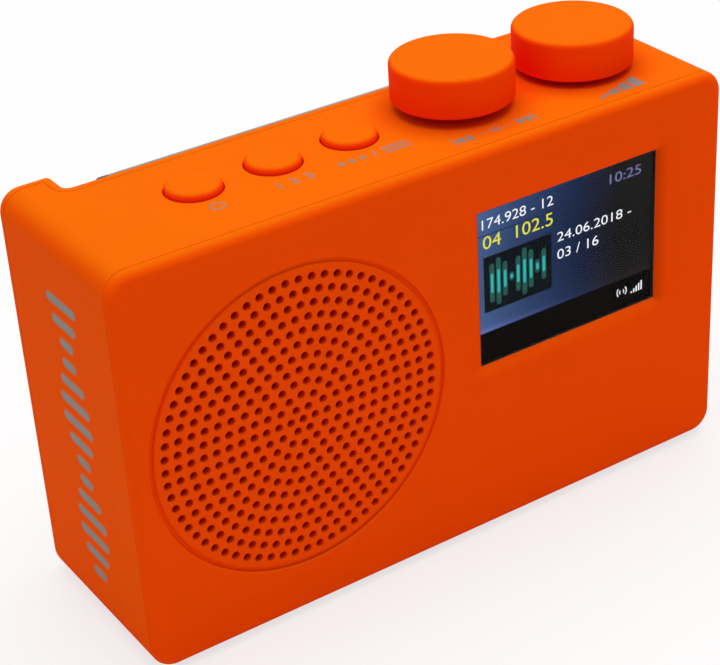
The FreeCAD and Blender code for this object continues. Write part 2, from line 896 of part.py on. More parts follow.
def jack_board():
    half = s.jack_board_length / 2
    board = box("jack_board", jack_board_x - half, jack_board_x + half,
                back_inner - s.jack_board_depth, back_inner, jack_board_low, jack_board_high)
    keep(board, "jack_board")


def jack(label, x, z, width, height, nose, bore):
    """A socket block on the jack board with a round nose through the rear wall."""
    near = back_inner - s.jack_body_depth
    block = box("block", x - width / 2, x + width / 2, near, back_inner, jack_board_high,
                jack_board_high + height)
    ring = cylinder("nose", nose, back_inner, back, "y", x, z)
    solid = fuse(label + "_solid", [block, ring])
    hole = cylinder("hole", bore, near + s.bay_wall, back, "y", x, z)
    return cut(label, solid, [hole])


def dc_jack():
    shell = jack("power_shell", power_jack_x, power_jack_z, s.power_jack_width,
                 s.power_jack_height, s.power_jack_nose, s.power_jack_bore)
    floor = back_inner - s.jack_body_depth + s.bay_wall
    pin = cylinder("pin", s.power_pin_radius, floor, back_inner, "y", power_jack_x, power_jack_z)
    keep(fuse("dc_jack", [shell, pin]), "dc_jack")


def headphone_jack():
    shell = jack("headphone_jack", phone_jack_x, phone_jack_z, s.phone_jack_width,
                 s.phone_jack_height, s.phone_jack_nose, s.phone_jack_bore)
    keep(shell, "headphone_jack")


# ---- loudspeaker ----------------------------------------------------------------------------

def value(size):
    """A size's number, read back from the sheet's own cells through its formula."""
    return as_size(size).number


def speaker_grille():
    """Perforated disc in a shallow groove: a middle hole, then rings of six, twelve and so on."""
    up = FreeCAD.Vector(0, 1, 0)
    centre = FreeCAD.Vector(value(speaker_x), value(front), value(speaker_z))
    pitch = value(s.hole_pitch)
    sides = int(value(s.hole_sides))
    holes = []
    for ring in range(int(value(s.hole_rings)) + 1):
        count = max(1, 6 * ring)
        for i in range(count):
            angle = 2 * math.pi * i / count
            across = FreeCAD.Vector(math.cos(angle), 0, math.sin(angle))
            holes.append(polygon_wire(centre + across * pitch * ring, value(s.hole_radius), sides))
    disc_radius = value(speaker_opening - s.fit_gap)
    rim = Part.Wire(Part.makeCircle(disc_radius, centre, up))
    disc = Part.Face([rim] + holes).extrude(up * value(s.grille_thickness))
    groove = Part.makeCylinder(disc_radius, value(s.groove_depth), centre, up)
    groove = groove.cut(Part.makeCylinder(value(s.grille_radius), value(s.groove_depth), centre, up))
    disc = disc.cut(groove)
    edges = [edge for edge in disc.Edges if on_rim(s.grille_radius)(edge) and lies_at("Y", front)(edge)]
    disc = disc.makeFillet(value(s.soft_edge), edges)
    flange_depth = value(s.grille_thickness - s.grille_lip)
    seat = centre + up * value(s.grille_lip)
    flange_radius = value(speaker_opening + s.grille_seat - s.fit_gap)
    ring = Part.makeCylinder(flange_radius, flange_depth, seat, up)
    ring = ring.cut(Part.makeCylinder(disc_radius, flange_depth, seat, up))
    item = doc.addObject("Part::Feature", "speaker_grille")
    item.Shape = disc.fuse(ring).removeSplitter()
    keep(item, "speaker_grille")


def polygon_wire(centre, radius, sides):
    """A closed many-sided hole with the same area as a round one of this radius."""
    reach = radius * math.sqrt(2 * math.pi / (sides * math.sin(2 * math.pi / sides)))
    points = []
    for i in range(sides + 1):
        angle = 2 * math.pi * i / sides
        points.append(centre + FreeCAD.Vector(math.cos(angle), 0, math.sin(angle)) * reach)
    return Part.makePolygon(points)


def speaker_ring(label, outer, inner, start, end):
    disc = cylinder(label + "_disc", outer, start, end, "y", speaker_x, speaker_z)
    hole = cylinder(label + "_hole", inner, start, end, "y", speaker_x, speaker_z)
    return keep(cut(label, disc, [hole]), label)


def speaker_body(label):
    """A body whose own origin lies on the loudspeaker's axis, so that it turns about +Y."""
    body = new_body(label)
    move(body, speaker_x, 0, speaker_z)
    return body


flange_back = flange_front + s.flange_thickness
basket_back = flange_back + s.basket_depth


def speaker_frame():
    """Square pressed flange with four ears, and a conical basket with four windows."""
    body = speaker_body("speaker_frame")
    half = s.flange_side / 2
    sketch = new_sketch(body, "XZ_Plane", -flange_front)
    rectangle(sketch, -half, half, -half, half, s.ear_radius)
    circle(sketch, 0, 0, s.cone_radius)
    for x, z in ear_places:
        circle(sketch, x, z, s.ear_hole_radius)
    pad(body, sketch, s.flange_thickness, backwards=True)

    sketch = new_sketch(body, "XY_Plane")
    wide = s.cone_radius
    narrow = s.magnet_radius - s.ear_radius
    thick = s.basket_wall
    outline(sketch, [
        (wide, flange_back - thick / 2), (wide + thick, flange_back - thick / 2),
        (narrow + thick, basket_back), (as_size(0), basket_back),
        (as_size(0), basket_back - thick), (narrow, basket_back - thick),
    ])
    revolve(body, sketch)
    window = new_sketch(body, "XZ_Plane", -basket_back)
    rectangle(window, -narrow / 2, narrow / 2, s.magnet_radius, wide - s.ear_radius)
    feature = pocket(body, window, s.basket_depth - thick, backwards=True)
    pattern = body.newObject("PartDesign::PolarPattern", "Windows")
    pattern.Originals = [feature]
    pattern.Axis = (window, ["N_Axis"])
    pattern.Angle = 360
    pattern.Occurrences = 4
    body.Tip = pattern


def speaker_magnet():
    body = speaker_body("speaker_magnet")
    sketch = new_sketch(body, "XY_Plane")
    plate = s.basket_wall * 1.5
    waist = s.magnet_radius - plate
    far = basket_back + s.magnet_depth
    outline(sketch, [
        (as_size(0), basket_back), (waist, basket_back), (waist, basket_back + plate),
        (s.magnet_radius, basket_back + plate), (s.magnet_radius, far - plate), (waist, far - plate),
        (waist, far), (as_size(0), far),
    ])
    revolve(body, sketch)


def speaker_cone():
    """Paper cone with a raised surround at its rim."""
    body = speaker_body("speaker_cone")
    sketch = new_sketch(body, "XY_Plane")
    rim = s.cone_radius - s.fit_gap
    paper = s.basket_wall / 2
    near = flange_front + s.fit_gap
    roll = rim - s.ear_radius
    deep = basket_back - s.ear_radius
    throat = s.cap_radius - paper
    outline(sketch, [
        (rim, near + paper), (rim - paper, near), (roll, near), (roll - paper, near + paper),
        (throat, deep - paper), (throat, deep), (roll, near + paper * 2), (rim - paper, near + paper * 2),
    ])
    revolve(body, sketch)


def speaker_dust_cap():
    body = speaker_body("speaker_dust_cap")
    deep = basket_back - s.ear_radius - s.basket_wall
    rise = s.cap_radius / 3
    sketch = new_sketch(body, "XZ_Plane", -deep)
    circle(sketch, 0, 0, s.cap_radius)
    pad(body, sketch, rise)
    round_edges(body, rise - s.fit_gap, lies_at("Y", deep - rise))


# ---- display and boards ---------------------------------------------------------------------

def window_box(label, margin, start, end):
    """A block behind the display window, widened all round by a margin."""
    across = s.window_width / 2 + margin
    upwards = s.window_height / 2 + margin
    return box(label, window_x - across, window_x + across, start, end,
               window_z - upwards, window_z + upwards)


def board_box(label, start, end):
    """A circuit board on the posts round the display."""
    across = s.board_post_x + s.ear_radius
    upwards = s.board_post_z + s.ear_radius
    return box(label, window_x - across, window_x + across, start, end,
               window_z - upwards, window_z + upwards)


def display():
    lens_front = front + s.bevel_depth
    keep(window_box("display_lens", -s.seat_gap, lens_front, lens_front + s.lens_thickness),
         "display_lens")
    screen_back = panel_back + s.screen_thickness
    keep(window_box("display_screen", s.screen_margin, panel_back, screen_back), "display_screen")
    tray = window_box("tray", s.screen_margin, screen_back, board_front)
    well = window_box("tray_well", s.screen_margin - s.bay_wall, screen_back, board_front - s.bay_wall)
    keep(cut("display_frame", tray, [well]), "display_frame")
    keep(board_box("display_board", board_front, board_front + s.board_thickness), "display_board")


def main_board():
    spacer_front = board_front + s.board_thickness
    near = spacer_front + s.spacer_length
    spacers = [
        cylinder("spacer", s.post_radius, spacer_front, near, "y", x, z) for x, z in board_post_places
    ]
    keep(group("board_spacers", spacers), "board_spacers")
    far = near + s.board_thickness
    keep(board_box("main_board", near, far), "main_board")
    across = s.shield_length / 2
    upwards = s.shield_height / 2
    can = box("tuner_shield", window_x - across, window_x + across, far, far + s.shield_depth,
              window_z - upwards, window_z + upwards)
    keep(can, "tuner_shield")


def control_board():
    left = button_places[0] - s.control_board_margin
    right = volume_x + s.control_board_margin
    board = box("control_board", left, right, s.control_board_front, s.control_board_back,
                board_bottom, board_top)
    keep(board, "control_board")


# ---- buttons --------------------------------------------------------------------------------

switch_top = board_top + s.switch_height
plunger_top = switch_top + s.plunger_rise


def button(name, x):
    """A hollow cap held under the roof by its flange, with a stem down to the switch's plunger."""
    body = new_body("button_%s_cap" % name)
    move(body, x, s.control_y, 0)
    crown = top + s.button_rise
    flange_top = roof - s.seat_gap
    flange_low = flange_top - s.button_flange_thickness
    skin = s.button_edge_radius + s.fit_gap
    zero = as_size(0)
    sketch = new_sketch(body, "XZ_Plane")
    outline(sketch, [
        (zero, plunger_top), (s.plunger_radius, plunger_top), (s.plunger_radius, crown - skin),
        (s.button_radius - skin, crown - skin), (s.button_radius - skin, flange_low),
        (s.button_radius + s.button_flange, flange_low),
        (s.button_radius + s.button_flange, flange_top),
        (s.button_radius, flange_top), (s.button_radius, crown), (zero, crown),
    ])
    revolve(body, sketch)
    round_edges(body, s.button_edge_radius, lies_at("Z", crown))
    plunger = cylinder("plunger", s.plunger_radius, switch_top - s.plunger_depth, plunger_top, "z",
                       x, s.control_y)
    keep(plunger, "button_%s_plunger" % name)


def button_switches():
    switches = []
    half = s.switch_side / 2
    for x in button_places:
        block = box("switch_block", x - half, x + half, s.control_y - half, s.control_y + half,
                    board_top, switch_top)
        guide = cylinder("switch_guide", s.plunger_radius + s.running_gap, board_top, switch_top, "z",
                         x, s.control_y)
        switches.append(cut("switch", block, [guide]))
    keep(group("button_switches", switches), "button_switches")


# ---- knobs ----------------------------------------------------------------------------------

bushing_top = top + s.nut_height + s.fit_gap
rotor_low = board_top + s.press_travel * 2
rotor_high = rotor_low + s.nut_height
shaft_low = board_top + s.press_travel + s.door_gap


def shaft_body(label, x):
    body = new_body(label)
    return move(body, x, s.control_y, 0)


def shaft(label, x, knob_top):
    """Metal shaft with a flat down one side."""
    body = shaft_body(label, x)
    sketch = new_sketch(body, "XY_Plane", shaft_low)
    d_shape(sketch, s.shaft_radius, s.shaft_flat)
    pad(body, sketch, knob_top - s.knob_roof - s.seat_gap - shaft_low)


def knob(label, x, low, knob_top):
    """Hollow knob with a boss that grips the shaft's flat."""
    body = shaft_body(label, x)
    inner = s.knob_radius - s.knob_wall
    ceiling = knob_top - s.knob_roof
    boss_low = bushing_top + s.press_travel + s.fit_gap
    zero = as_size(0)
    sketch = new_sketch(body, "XZ_Plane")
    outline(sketch, [
        (zero, boss_low), (s.knob_boss_radius, boss_low), (s.knob_boss_radius, ceiling),
        (inner, ceiling), (inner, low), (s.knob_radius, low), (s.knob_radius, knob_top),
        (zero, knob_top),
    ])
    revolve(body, sketch)
    round_edges(body, s.knob_edge_radius, lies_at("Z", knob_top))
    round_edges(body, s.knob_foot_radius, both(lies_at("Z", low), on_rim(s.knob_radius)))
    sketch = new_sketch(body, "XY_Plane", boss_low)
    d_shape(sketch, s.shaft_radius + s.running_gap, s.shaft_flat + s.running_gap)
    pocket(body, sketch, ceiling - boss_low, backwards=True)


def on_rim(radius):
    """A test for round edges of one radius."""
    return lambda edge: is_round(edge) and abs(edge.Curve.Radius - radius.number) < 1e-4


def encoder(label, x, with_rotor):
    """Encoder housing under the roof, with its round bushing through it."""
    half = s.encoder_side / 2
    block = box("encoder_block", x - half, x + half, s.control_y - half, s.control_y + half,
                board_top, roof)
    bushing = cylinder("bushing", s.bushing_radius, roof, bushing_top, "z", x, s.control_y)
    bore = cylinder("bore", s.shaft_radius + s.running_gap, board_top + s.seat_gap, bushing_top, "z",
                    x, s.control_y)
    cutters = [bore]
    if with_rotor:
        room = half - s.press_travel
        cutters.append(cylinder("rotor_room", room, rotor_low - s.running_gap,
                                rotor_high + s.running_gap, "z", x, s.control_y))
    keep(cut(label, fuse(label + "_solid", [block, bushing]), cutters), label)


def select_rotor():
    """Disc inside the select encoder: it turns with the shaft, which slides through it."""
    body = shaft_body("select_rotor", select_x)
    sketch = new_sketch(body, "XY_Plane", rotor_low)
    circle(sketch, 0, 0, s.encoder_side / 2 - s.press_travel - s.running_gap)
    d_shape(sketch, s.shaft_radius + s.running_gap, s.shaft_flat + s.running_gap)
    pad(body, sketch, s.nut_height)


def encoder_nuts():
    nuts = []
    for x in (select_x, volume_x):
        prism = doc.addObject("Part::Prism", "hexagon")
        prism.Polygon = 6
        bind(prism, "Circumradius", s.nut_radius)
        bind(prism, "Height", s.nut_height)
        move(prism, x, s.control_y, top)
        hole = cylinder("nut_hole", s.bushing_radius + s.seat_gap, top, top + s.nut_height, "z", x,
                        s.control_y)
        nuts.append(cut("nut", prism, [hole]))
    keep(group("encoder_nuts", nuts), "encoder_nuts")


# ---- antenna --------------------------------------------------------------------------------

eye_half = s.eye_width / 2
cheek_in = eye_half + s.running_gap
cheek_out = cheek_in + s.fork_cheek
disc_low = trough_floor + s.seat_gap
disc_high = disc_low + s.turret_disc
tube_end = antenna_tip_x + s.tip_length


def antenna_turret():
    """Swivel fork: a disc on the trough floor, a stem through it and two cheeks."""
    disc = cylinder("turret_disc", s.turret_radius, disc_low, disc_high, "z", antenna_x, antenna_y)
    stem_low = trough_floor - s.wall - s.seat_gap - s.retainer_height
    stem = cylinder("turret_stem", s.turret_stem_radius, stem_low, disc_low, "z", antenna_x, antenna_y)
    pieces = [disc, stem]
    for first, last in ((-cheek_out, -cheek_in), (cheek_in, cheek_out)):
        near = antenna_y + first
        far = antenna_y + last
        pieces.append(box("cheek", antenna_x - s.eye_radius, antenna_x + s.eye_radius, near, far,
                          disc_low, antenna_z))
        pieces.append(cylinder("cheek_head", s.eye_radius, near, far, "y", antenna_x, antenna_z))
    hole = cylinder("pin_hole", s.hinge_pin_radius + s.running_gap, antenna_y - cheek_out,
                    antenna_y + cheek_out, "y", antenna_x, antenna_z)
    keep(cut("antenna_turret", fuse("turret_solid", pieces), [hole]), "antenna_turret")
    pin = cylinder("antenna_pin", s.hinge_pin_radius, antenna_y - cheek_out, antenna_y + cheek_out,
                   "y", antenna_x, antenna_z)
    keep(pin, "antenna_pin")
    washer_high = stem_low + s.retainer_height
    washer = cylinder("washer", s.retainer_radius, stem_low, washer_high, "z", antenna_x, antenna_y)
    hole = cylinder("washer_hole", s.turret_stem_radius + s.running_gap, stem_low, washer_high, "z",
                    antenna_x, antenna_y)
    keep(cut("antenna_retainer", washer, [hole]), "antenna_retainer")


def tube_radius(number):
    return s.antenna_radius - s.antenna_step * (number - 1)


def antenna_tubes():
    """Four nested tubes: the first has the flat eye that the fork holds, the last is a rod."""
    collar_x = antenna_x - s.antenna_collar
    root_x = antenna_x - s.antenna_root
    eye = cylinder("eye", s.eye_radius, antenna_y - eye_half, antenna_y + eye_half, "y",
                   antenna_x, antenna_z)
    neck = box("neck", root_x, antenna_x, antenna_y - eye_half, antenna_y + eye_half,
               antenna_z - s.eye_radius * 0.8, antenna_z + s.eye_radius * 0.8)
    tube = cylinder("tube", tube_radius(1), tube_end, root_x, "x", antenna_y, antenna_z)
    bore = cylinder("bore", tube_radius(1) - s.antenna_tube_wall, tube_end, collar_x, "x",
                    antenna_y, antenna_z)
    hole = cylinder("eye_hole", s.hinge_pin_radius + s.running_gap, antenna_y - eye_half,
                    antenna_y + eye_half, "y", antenna_x, antenna_z)
    solid = fuse("section_solid", [eye, neck, tube])
    keep(cut("antenna_section_1", solid, [bore, hole]), "antenna_section_1")
    for number in (2, 3, 4):
        label = "antenna_section_%d" % number
        start_x = collar_x - s.antenna_nest * (number - 1)
        tube = cylinder("tube", tube_radius(number), tube_end, start_x, "x", antenna_y, antenna_z)
        if number < 4:
            bore = cylinder("bore", tube_radius(number) - s.antenna_tube_wall, tube_end,
                            start_x - s.antenna_nest / 2, "x", antenna_y, antenna_z)
            tube = cut(label, tube, [bore])
        keep(tube, label)
    body = new_body("antenna_tip")
    move(body, 0, antenna_y, antenna_z)
    sketch = new_sketch(body, "YZ_Plane", antenna_tip_x)
    circle(sketch, 0, 0, s.antenna_radius)
    pad(body, sketch, s.tip_length)
    round_edges(body, s.tip_length / 3, lies_at("X", antenna_tip_x))


# ---- the radio ------------------------------------------------------------------------------

def check_and_write():
    """Recompute, look for failures, then write every sub-part's solid."""
    doc.recompute()
    for item in doc.Objects:
        if "Invalid" in item.State or "Error" in item.State:
            raise RuntimeError("%s failed: %s" % (item.Label, item.State))
    for item in subparts:
        if item.Shape.isNull() or not item.Shape.isValid():
            raise RuntimeError("%s has no valid shape" % item.Label)
    os.makedirs("parts", exist_ok=True)
    for item in subparts:
        item.Shape.exportStep("parts/%s.step" % item.Label)


front_panel()
case_shell()
rear_cover()
rubber_feet()
case_screws()
battery_door()
battery_cells()
battery_contacts()
jack_board()
dc_jack()
headphone_jack()
speaker_grille()
grille_back = front + s.grille_thickness
cloth = cylinder("grille_cloth", s.grille_radius - s.groove_width, grille_back,
                 grille_back + s.cloth_thickness, "y", speaker_x, speaker_z)
keep(cloth, "grille_cloth")
speaker_ring("speaker_gasket", s.gasket_radius, s.gasket_radius - s.gasket_width,
             grille_back + s.cloth_thickness, flange_front)
speaker_frame()
speaker_magnet()
speaker_cone()
speaker_dust_cap()
display()
main_board()
control_board()
for button_name, button_x in zip(("power", "list", "menu"), button_places):
    button(button_name, button_x)
button_switches()
encoder("select_encoder", select_x, True)
encoder("volume_encoder", volume_x, False)
select_rotor()
for knob_name, knob_x, gap, tall in (
    ("select", select_x, s.select_gap, s.select_height),
    ("volume", volume_x, s.volume_gap, s.volume_height),
):
    shaft(knob_name + "_shaft", knob_x, top + gap + tall)
    knob("knob_" + knob_name, knob_x, top + gap, top + gap + tall)
encoder_nuts()
antenna_turret()
antenna_tubes()
check_and_write()
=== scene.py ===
import json
import math

import bmesh
import bpy
import numpy as np
from bpy.props import (
    FloatProperty, FloatVectorProperty, IntProperty, PointerProperty, StringProperty
)
from mathutils import Matrix, Vector
from mathutils.geometry import delaunay_2d_cdt

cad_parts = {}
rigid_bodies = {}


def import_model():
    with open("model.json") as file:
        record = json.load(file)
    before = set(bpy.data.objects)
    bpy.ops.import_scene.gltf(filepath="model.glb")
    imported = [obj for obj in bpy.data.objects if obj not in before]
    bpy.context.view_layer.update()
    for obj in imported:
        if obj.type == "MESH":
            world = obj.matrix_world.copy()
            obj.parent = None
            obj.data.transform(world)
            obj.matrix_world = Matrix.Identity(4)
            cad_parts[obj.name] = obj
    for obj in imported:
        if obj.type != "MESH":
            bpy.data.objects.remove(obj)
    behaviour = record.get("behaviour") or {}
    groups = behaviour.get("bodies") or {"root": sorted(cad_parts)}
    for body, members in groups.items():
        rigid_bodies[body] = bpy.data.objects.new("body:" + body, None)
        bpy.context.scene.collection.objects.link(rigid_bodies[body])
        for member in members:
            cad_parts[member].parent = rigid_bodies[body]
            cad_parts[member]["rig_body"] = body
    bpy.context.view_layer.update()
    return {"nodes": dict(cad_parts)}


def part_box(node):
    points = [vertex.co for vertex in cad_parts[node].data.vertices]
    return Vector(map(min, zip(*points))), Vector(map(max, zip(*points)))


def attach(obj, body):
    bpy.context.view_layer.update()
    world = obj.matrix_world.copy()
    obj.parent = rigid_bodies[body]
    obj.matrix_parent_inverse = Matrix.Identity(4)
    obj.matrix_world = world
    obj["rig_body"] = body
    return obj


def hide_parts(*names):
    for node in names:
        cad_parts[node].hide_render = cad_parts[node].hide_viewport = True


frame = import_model()

bl_info = {
    "name": "Portable Digital Radio",
    "version": (1, 0, 0),
    "blender": (4, 5, 0),
    "location": "View3D > Sidebar > Radio",
    "description": "Finishes a portable digital radio and its stage",
    "category": "Object",
}

MM = 0.001
RIGHT = np.array((1.0, 0.0, 0.0))
BACKWARD = np.array((0.0, 1.0, 0.0))
UP = np.array((0.0, 0.0, 1.0))

# How far shade reaches, then the openness at which it is full and at which it is gone.
KNOB_SHADE = (12 * MM, 0.25, 0.9)
SEAM_SHADE = (0.6 * MM, 0.55, 0.9)
# Stored shares of facing up or left between which painted light (up) and painted shade (left) set
# in.
PAINTED_RISE_LIGHT_SHARES = (0.0, 0.45)
PAINTED_TOP_LIGHT_SHARES = (0.5, 1.0)
PAINTED_BEVEL_SHADE_SHARES = (0.0, 0.65)
# Places along X between which the painted shade of the window's right bevel sets in.
RIGHT_BEVEL = (60 * MM, 66 * MM)

# Marks on the top, in mm: a middle, a box (left, low, right, high), or ends and a level.
POWER_MIDDLE = (-52.5, -14.1)
LIST_BOX = (-36.0, -15.8, -26.4, -12.7)
MENU_ENDS, MENU_LEVEL = (-19.6, 1.6), -14.0
SKIP_MIDDLES, SELECT_LEVEL = (12.75, 31.5), -21.7
PRESS_MIDDLE = 22.3
VOLUME_ENDS, VOLUME_LEVEL = (53.0, 69.0), -24.2
# The mark on the left side, in mm: where it is in depth, its foot, its head and its width.
SIDE_DEPTH, SIDE_LOW, SIDE_HIGH, SIDE_WIDTH = -3.3, 14.1, 97.0, 15.4

# The display, in mm: boxes (left, low, right, high), then levels, a corner and a middle.
HEADING_BOX = (13.1, 89.1, 35.6, 91.9)
CHANNEL_BOX = (13.3, 83.5, 35.4, 87.1)
CLOCK_BOX = (54.1, 88.9, 64.6, 91.7)
FIRST_LINE_BOX = (36.8, 77.9, 61.4, 80.6)
SECOND_LINE_BOX = (36.8, 72.8, 50.4, 75.6)
ART_BOX = (13.3, 65.3, 34.9, 81.2)
RULE_LEVELS = (87.3, 87.55)
BARS_CORNER = (61.6, 54.0)
SIGN_MIDDLE = (58.5, 55.6)
# How far in front of each other the display's sheets lie.
LAYER = 0.02 * MM

# The stage, in metres; the lens and the sensor are in mm, the shift is a share of the sensor.
LAMP_PLACE, LAMP_TARGET, LAMP_SIDE = (0.10, 0.10, 1.30), (0.0, 0.0, 0.06), 1.3
FLOOR_REACH, FLOOR_POINTS = 3.0, 13
CAMERA_PLACE = (-0.24922, -0.39276, 0.3251)
CAMERA_VIEW, CAMERA_RIGHT = (0.4789, 0.7127, -0.5125), (0.81653, -0.57604, -0.0381)
CAMERA_LENS, CAMERA_SENSOR, CAMERA_SHIFT = 102.12, 36.0, (-0.0978, 0.0173)


# ---- settings ----

def colour(label, text, default):
    return FloatVectorProperty(
        name=label, description=text, subtype="COLOR", min=0, max=1, default=default
    )


def length(label, text, default):
    return FloatProperty(
        name=label, description=text, unit="LENGTH", min=0, default=default, precision=5
    )


def fraction(label, text, default):
    return FloatProperty(
        name=label, description=text, subtype="FACTOR", min=0, max=1, default=default
    )


def number(label, text, default, least, most):
    return IntProperty(name=label, description=text, min=least, max=most, default=default)


def words(label, text, default):
    return StringProperty(name=label, description=text, default=default)


class RadioCaseSettings(bpy.types.PropertyGroup):
    # Painted light: the paint is made yellower on what faces up, where more light falls.
    painted_top_light: colour("Above", "Paint on what faces up, a little yellower", (0.86, 0.141, 0.002))
    shell: colour("Shell", "Paint on the case's walls and the rear cover", (0.905, 0.090, 0.001))
    front: colour("Front", "Paint on the front panel and the grille", (0.93, 0.070, 0.001))
    # Painted light: a lighter tint where the front panel leans back towards the light.
    rising: colour("Rising", "Paint where the front panel leans back a little", (1.0, 0.088, 0.001))
    # Painted shade: a darker tint on the window's right bevel, which leans away from the light.
    turned: colour("Turned", "Paint on the window's right bevel", (0.70, 0.055, 0.001))
    controls: colour("Controls", "Paint on the sides of the knobs and buttons", (1.0, 0.054, 0.001))
    # Painted shade under the knobs and in creases, set by ambient occlusion.
    sheltered: colour("Sheltered", "Paint under the knobs and in creases", (0.95, 0.012, 0.001))
    # Painted shade in the fine grooves between mouldings, set by ambient occlusion.
    seam: colour("Seams", "Paint in the fine grooves between mouldings", (0.82, 0.100, 0.001))
    roughness: fraction("Roughness", "Roughness of the soft paint", 0.5)
    grain: length("Grain", "Size of the paint's fine grain", 0.35 * MM)


class RadioGrilleSettings(bpy.types.PropertyGroup):
    bore: colour("Bores", "Paint just inside the holes", (1.0, 0.048, 0.002))
    # Painted shade: the bores' paint darkens towards the far end of the holes.
    deep: colour("Deep", "Thin paint at the far end of the holes", (0.62, 0.020, 0.006))
    pitch: length("Pitch", "Distance between rings of holes", 3.45 * MM)
    rings: number("Rings", "Rings of holes round the middle one", 11, 1, 14)
    hole: length("Hole", "Radius of a hole", 1.09 * MM)
    rim: length("Rim", "Chamfer of each hole's rim", 0.11 * MM)
    edge: length("Edge", "Rounding of the raised face's edge", 0.4 * MM)
    groove_width: length("Groove width", "Width of the groove round the face", 1.2 * MM)
    groove_depth: length("Groove depth", "Depth of the groove round the face", 0.9 * MM)
    lip: length("Lip", "Thickness of the panel's lip in front of the flange", 1.4 * MM)
    seat: length("Seat", "How far the flange reaches behind the lip", 1.38 * MM)


class RadioPrintSettings(bpy.types.PropertyGroup):
    ink: colour("Ink", "Colour of the printed marks", (0.25, 0.22, 0.19))
    lift: length("Lift", "Height of the ink above the paint", 0.02 * MM)
    stripes: number("Stripes", "Bars in the mark on the left side", 15, 3, 30)


class RadioDisplaySettings(bpy.types.PropertyGroup):
    bright: colour("Bright side", "Background at the picture's left", (0.061, 0.117, 0.275))
    middle: colour("Middle", "Background between the left and the middle", (0.0144, 0.0319, 0.095))
    dark: colour("Dark side", "Background at the picture's right", (0.009, 0.009, 0.0085))
    heading: words("Heading", "Digits of the first line", "174.928 - 12")
    clock: words("Clock", "Time of day", "10:25")
    channel: words("Channel", "Digits of the second line", "04  102.5")
    first_line: words("First line", "Digits beside the picture", "24.06.2018 -")
    second_line: words("Second line", "More digits beside the picture", "03 / 16")


class RadioStageSettings(bpy.types.PropertyGroup):
    lamp: FloatProperty(
        name="Lamp", description="Power of the overhead lamp", unit="POWER", default=13.1
    )
    sky: FloatProperty(
        name="Sky", description="Strength of the light from all round", min=0, default=0.48
    )
    floor: fraction("Floor", "Paleness of the floor", 0.93)
    whiteness: fraction("Whiteness", "Share of plain white in the floor that is seen", 0.7)


SETTINGS = (
    ("radio_case", RadioCaseSettings),
    ("radio_grille", RadioGrilleSettings),
    ("radio_print", RadioPrintSettings),
    ("radio_display", RadioDisplaySettings),
    ("radio_stage", RadioStageSettings),
)


# ---- meshes ----

def in_metres(values):
    return [value * MM for value in values]


def piece(name, points, faces, body, finish, smooth=True):
    """A mesh from an array of points and its faces, carried by a body."""
    mesh = bpy.data.meshes.new(name)
    corners = [list(map(int, face)) for face in faces]
    mesh.from_pydata(np.reshape(points, (-1, 3)).tolist(), [], corners)
    mesh.validate()
    mesh.polygons.foreach_set("use_smooth", np.full(len(mesh.polygons), smooth))
    mark_slopes(mesh)
    item = bpy.data.objects.new(name, mesh)
    bpy.context.scene.collection.objects.link(item)
    item.data.materials.append(finish)
    if body:
        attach(item, body)
    return item


def grid_faces(rows, columns, first=0, wrap=True):
    """Quads between neighbouring points of a grid listed row by row; wrap joins each row's ends."""
    spans = columns if wrap else columns - 1
    row, column = np.meshgrid(np.arange(rows - 1), np.arange(spans), indexing="ij")
    after = (column + 1) % columns
    corners = (row * columns + column, row * columns + after, (row + 1) * columns + after,
               (row + 1) * columns + column)
    return np.stack(corners, -1).reshape(-1, 4) + first


def flat_grid(across, upwards):
    """Points of a flat grid, and the quads between them."""
    flat = np.stack(np.meshgrid(across, upwards, indexing="ij"), -1)
    return flat, grid_faces(len(across), len(upwards), wrap=False)[:, ::-1]


def upright(flat, depth):
    """Points of a front view, given as X and Z, at their depths along Y."""
    return np.stack((flat[..., 0], np.broadcast_to(depth, flat.shape[:-1]), flat[..., 1]), -1)


def around(angle):
    """Points of the unit circle, (cos t, sin t)."""
    return np.stack((np.cos(angle), np.sin(angle)), -1)


def circle(count):
    """Unit circle with count points."""
    return around(np.arange(count) * 2 * math.pi / count)


def rounding(radius, steps):
    """A quarter circle as (inset, depth) rows: inset = r sin t, depth = r (1 - cos t)."""
    angle = np.linspace(0, math.pi / 2, steps + 1)
    return np.stack((radius * np.sin(angle), radius * (1 - np.cos(angle))), -1)


def finished(node, finish):
    """A CAD solid's own surface, its doubles merged, its creases sharp and its curves smooth."""
    source = frame["nodes"][node]
    mesh = source.data.copy()
    mesh.materials.clear()
    mesh.materials.append(finish)
    keep_creases(mesh, 28.0, 2e-6)
    normals = mesh.attributes.get("custom_normal")
    if normals:
        mesh.attributes.remove(normals)
    mark_slopes(mesh)
    item = bpy.data.objects.new(node + "_skin", mesh)
    bpy.context.scene.collection.objects.link(item)
    weigh_normals(item)
    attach(item, source["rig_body"])
    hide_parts(node)


def keep_creases(mesh, crease, reach=0.0):
    """Sharpen the edges above an angle in degrees, and merge points that lie within reach."""
    work = bmesh.new()
    work.from_mesh(mesh)
    if reach:
        bmesh.ops.remove_doubles(work, verts=work.verts, dist=reach)
    limit = math.radians(crease)
    for edge in work.edges:
        edge.smooth = len(edge.link_faces) == 2 and edge.calc_face_angle(0.0) < limit
    for face in work.faces:
        face.smooth = True
    work.to_mesh(mesh)
    work.free()


def weigh_normals(item):
    """Let large faces lead the shading of the curves beside them."""
    weighted = item.modifiers.new("Shading", "WEIGHTED_NORMAL")
    weighted.keep_sharp = True
    weighted.weight = 80


def mark_slopes(mesh):
    """Store how far each corner's normal points up and to the left, from -1 to 1."""
    normals = np.empty(len(mesh.loops) * 3, np.float32)
    mesh.corner_normals.foreach_get("vector", normals)
    for way, values in (("upward", normals[2::3]), ("leftward", -normals[::3])):
        mesh.attributes.new(way, "FLOAT", "CORNER").data.foreach_set("value", values)


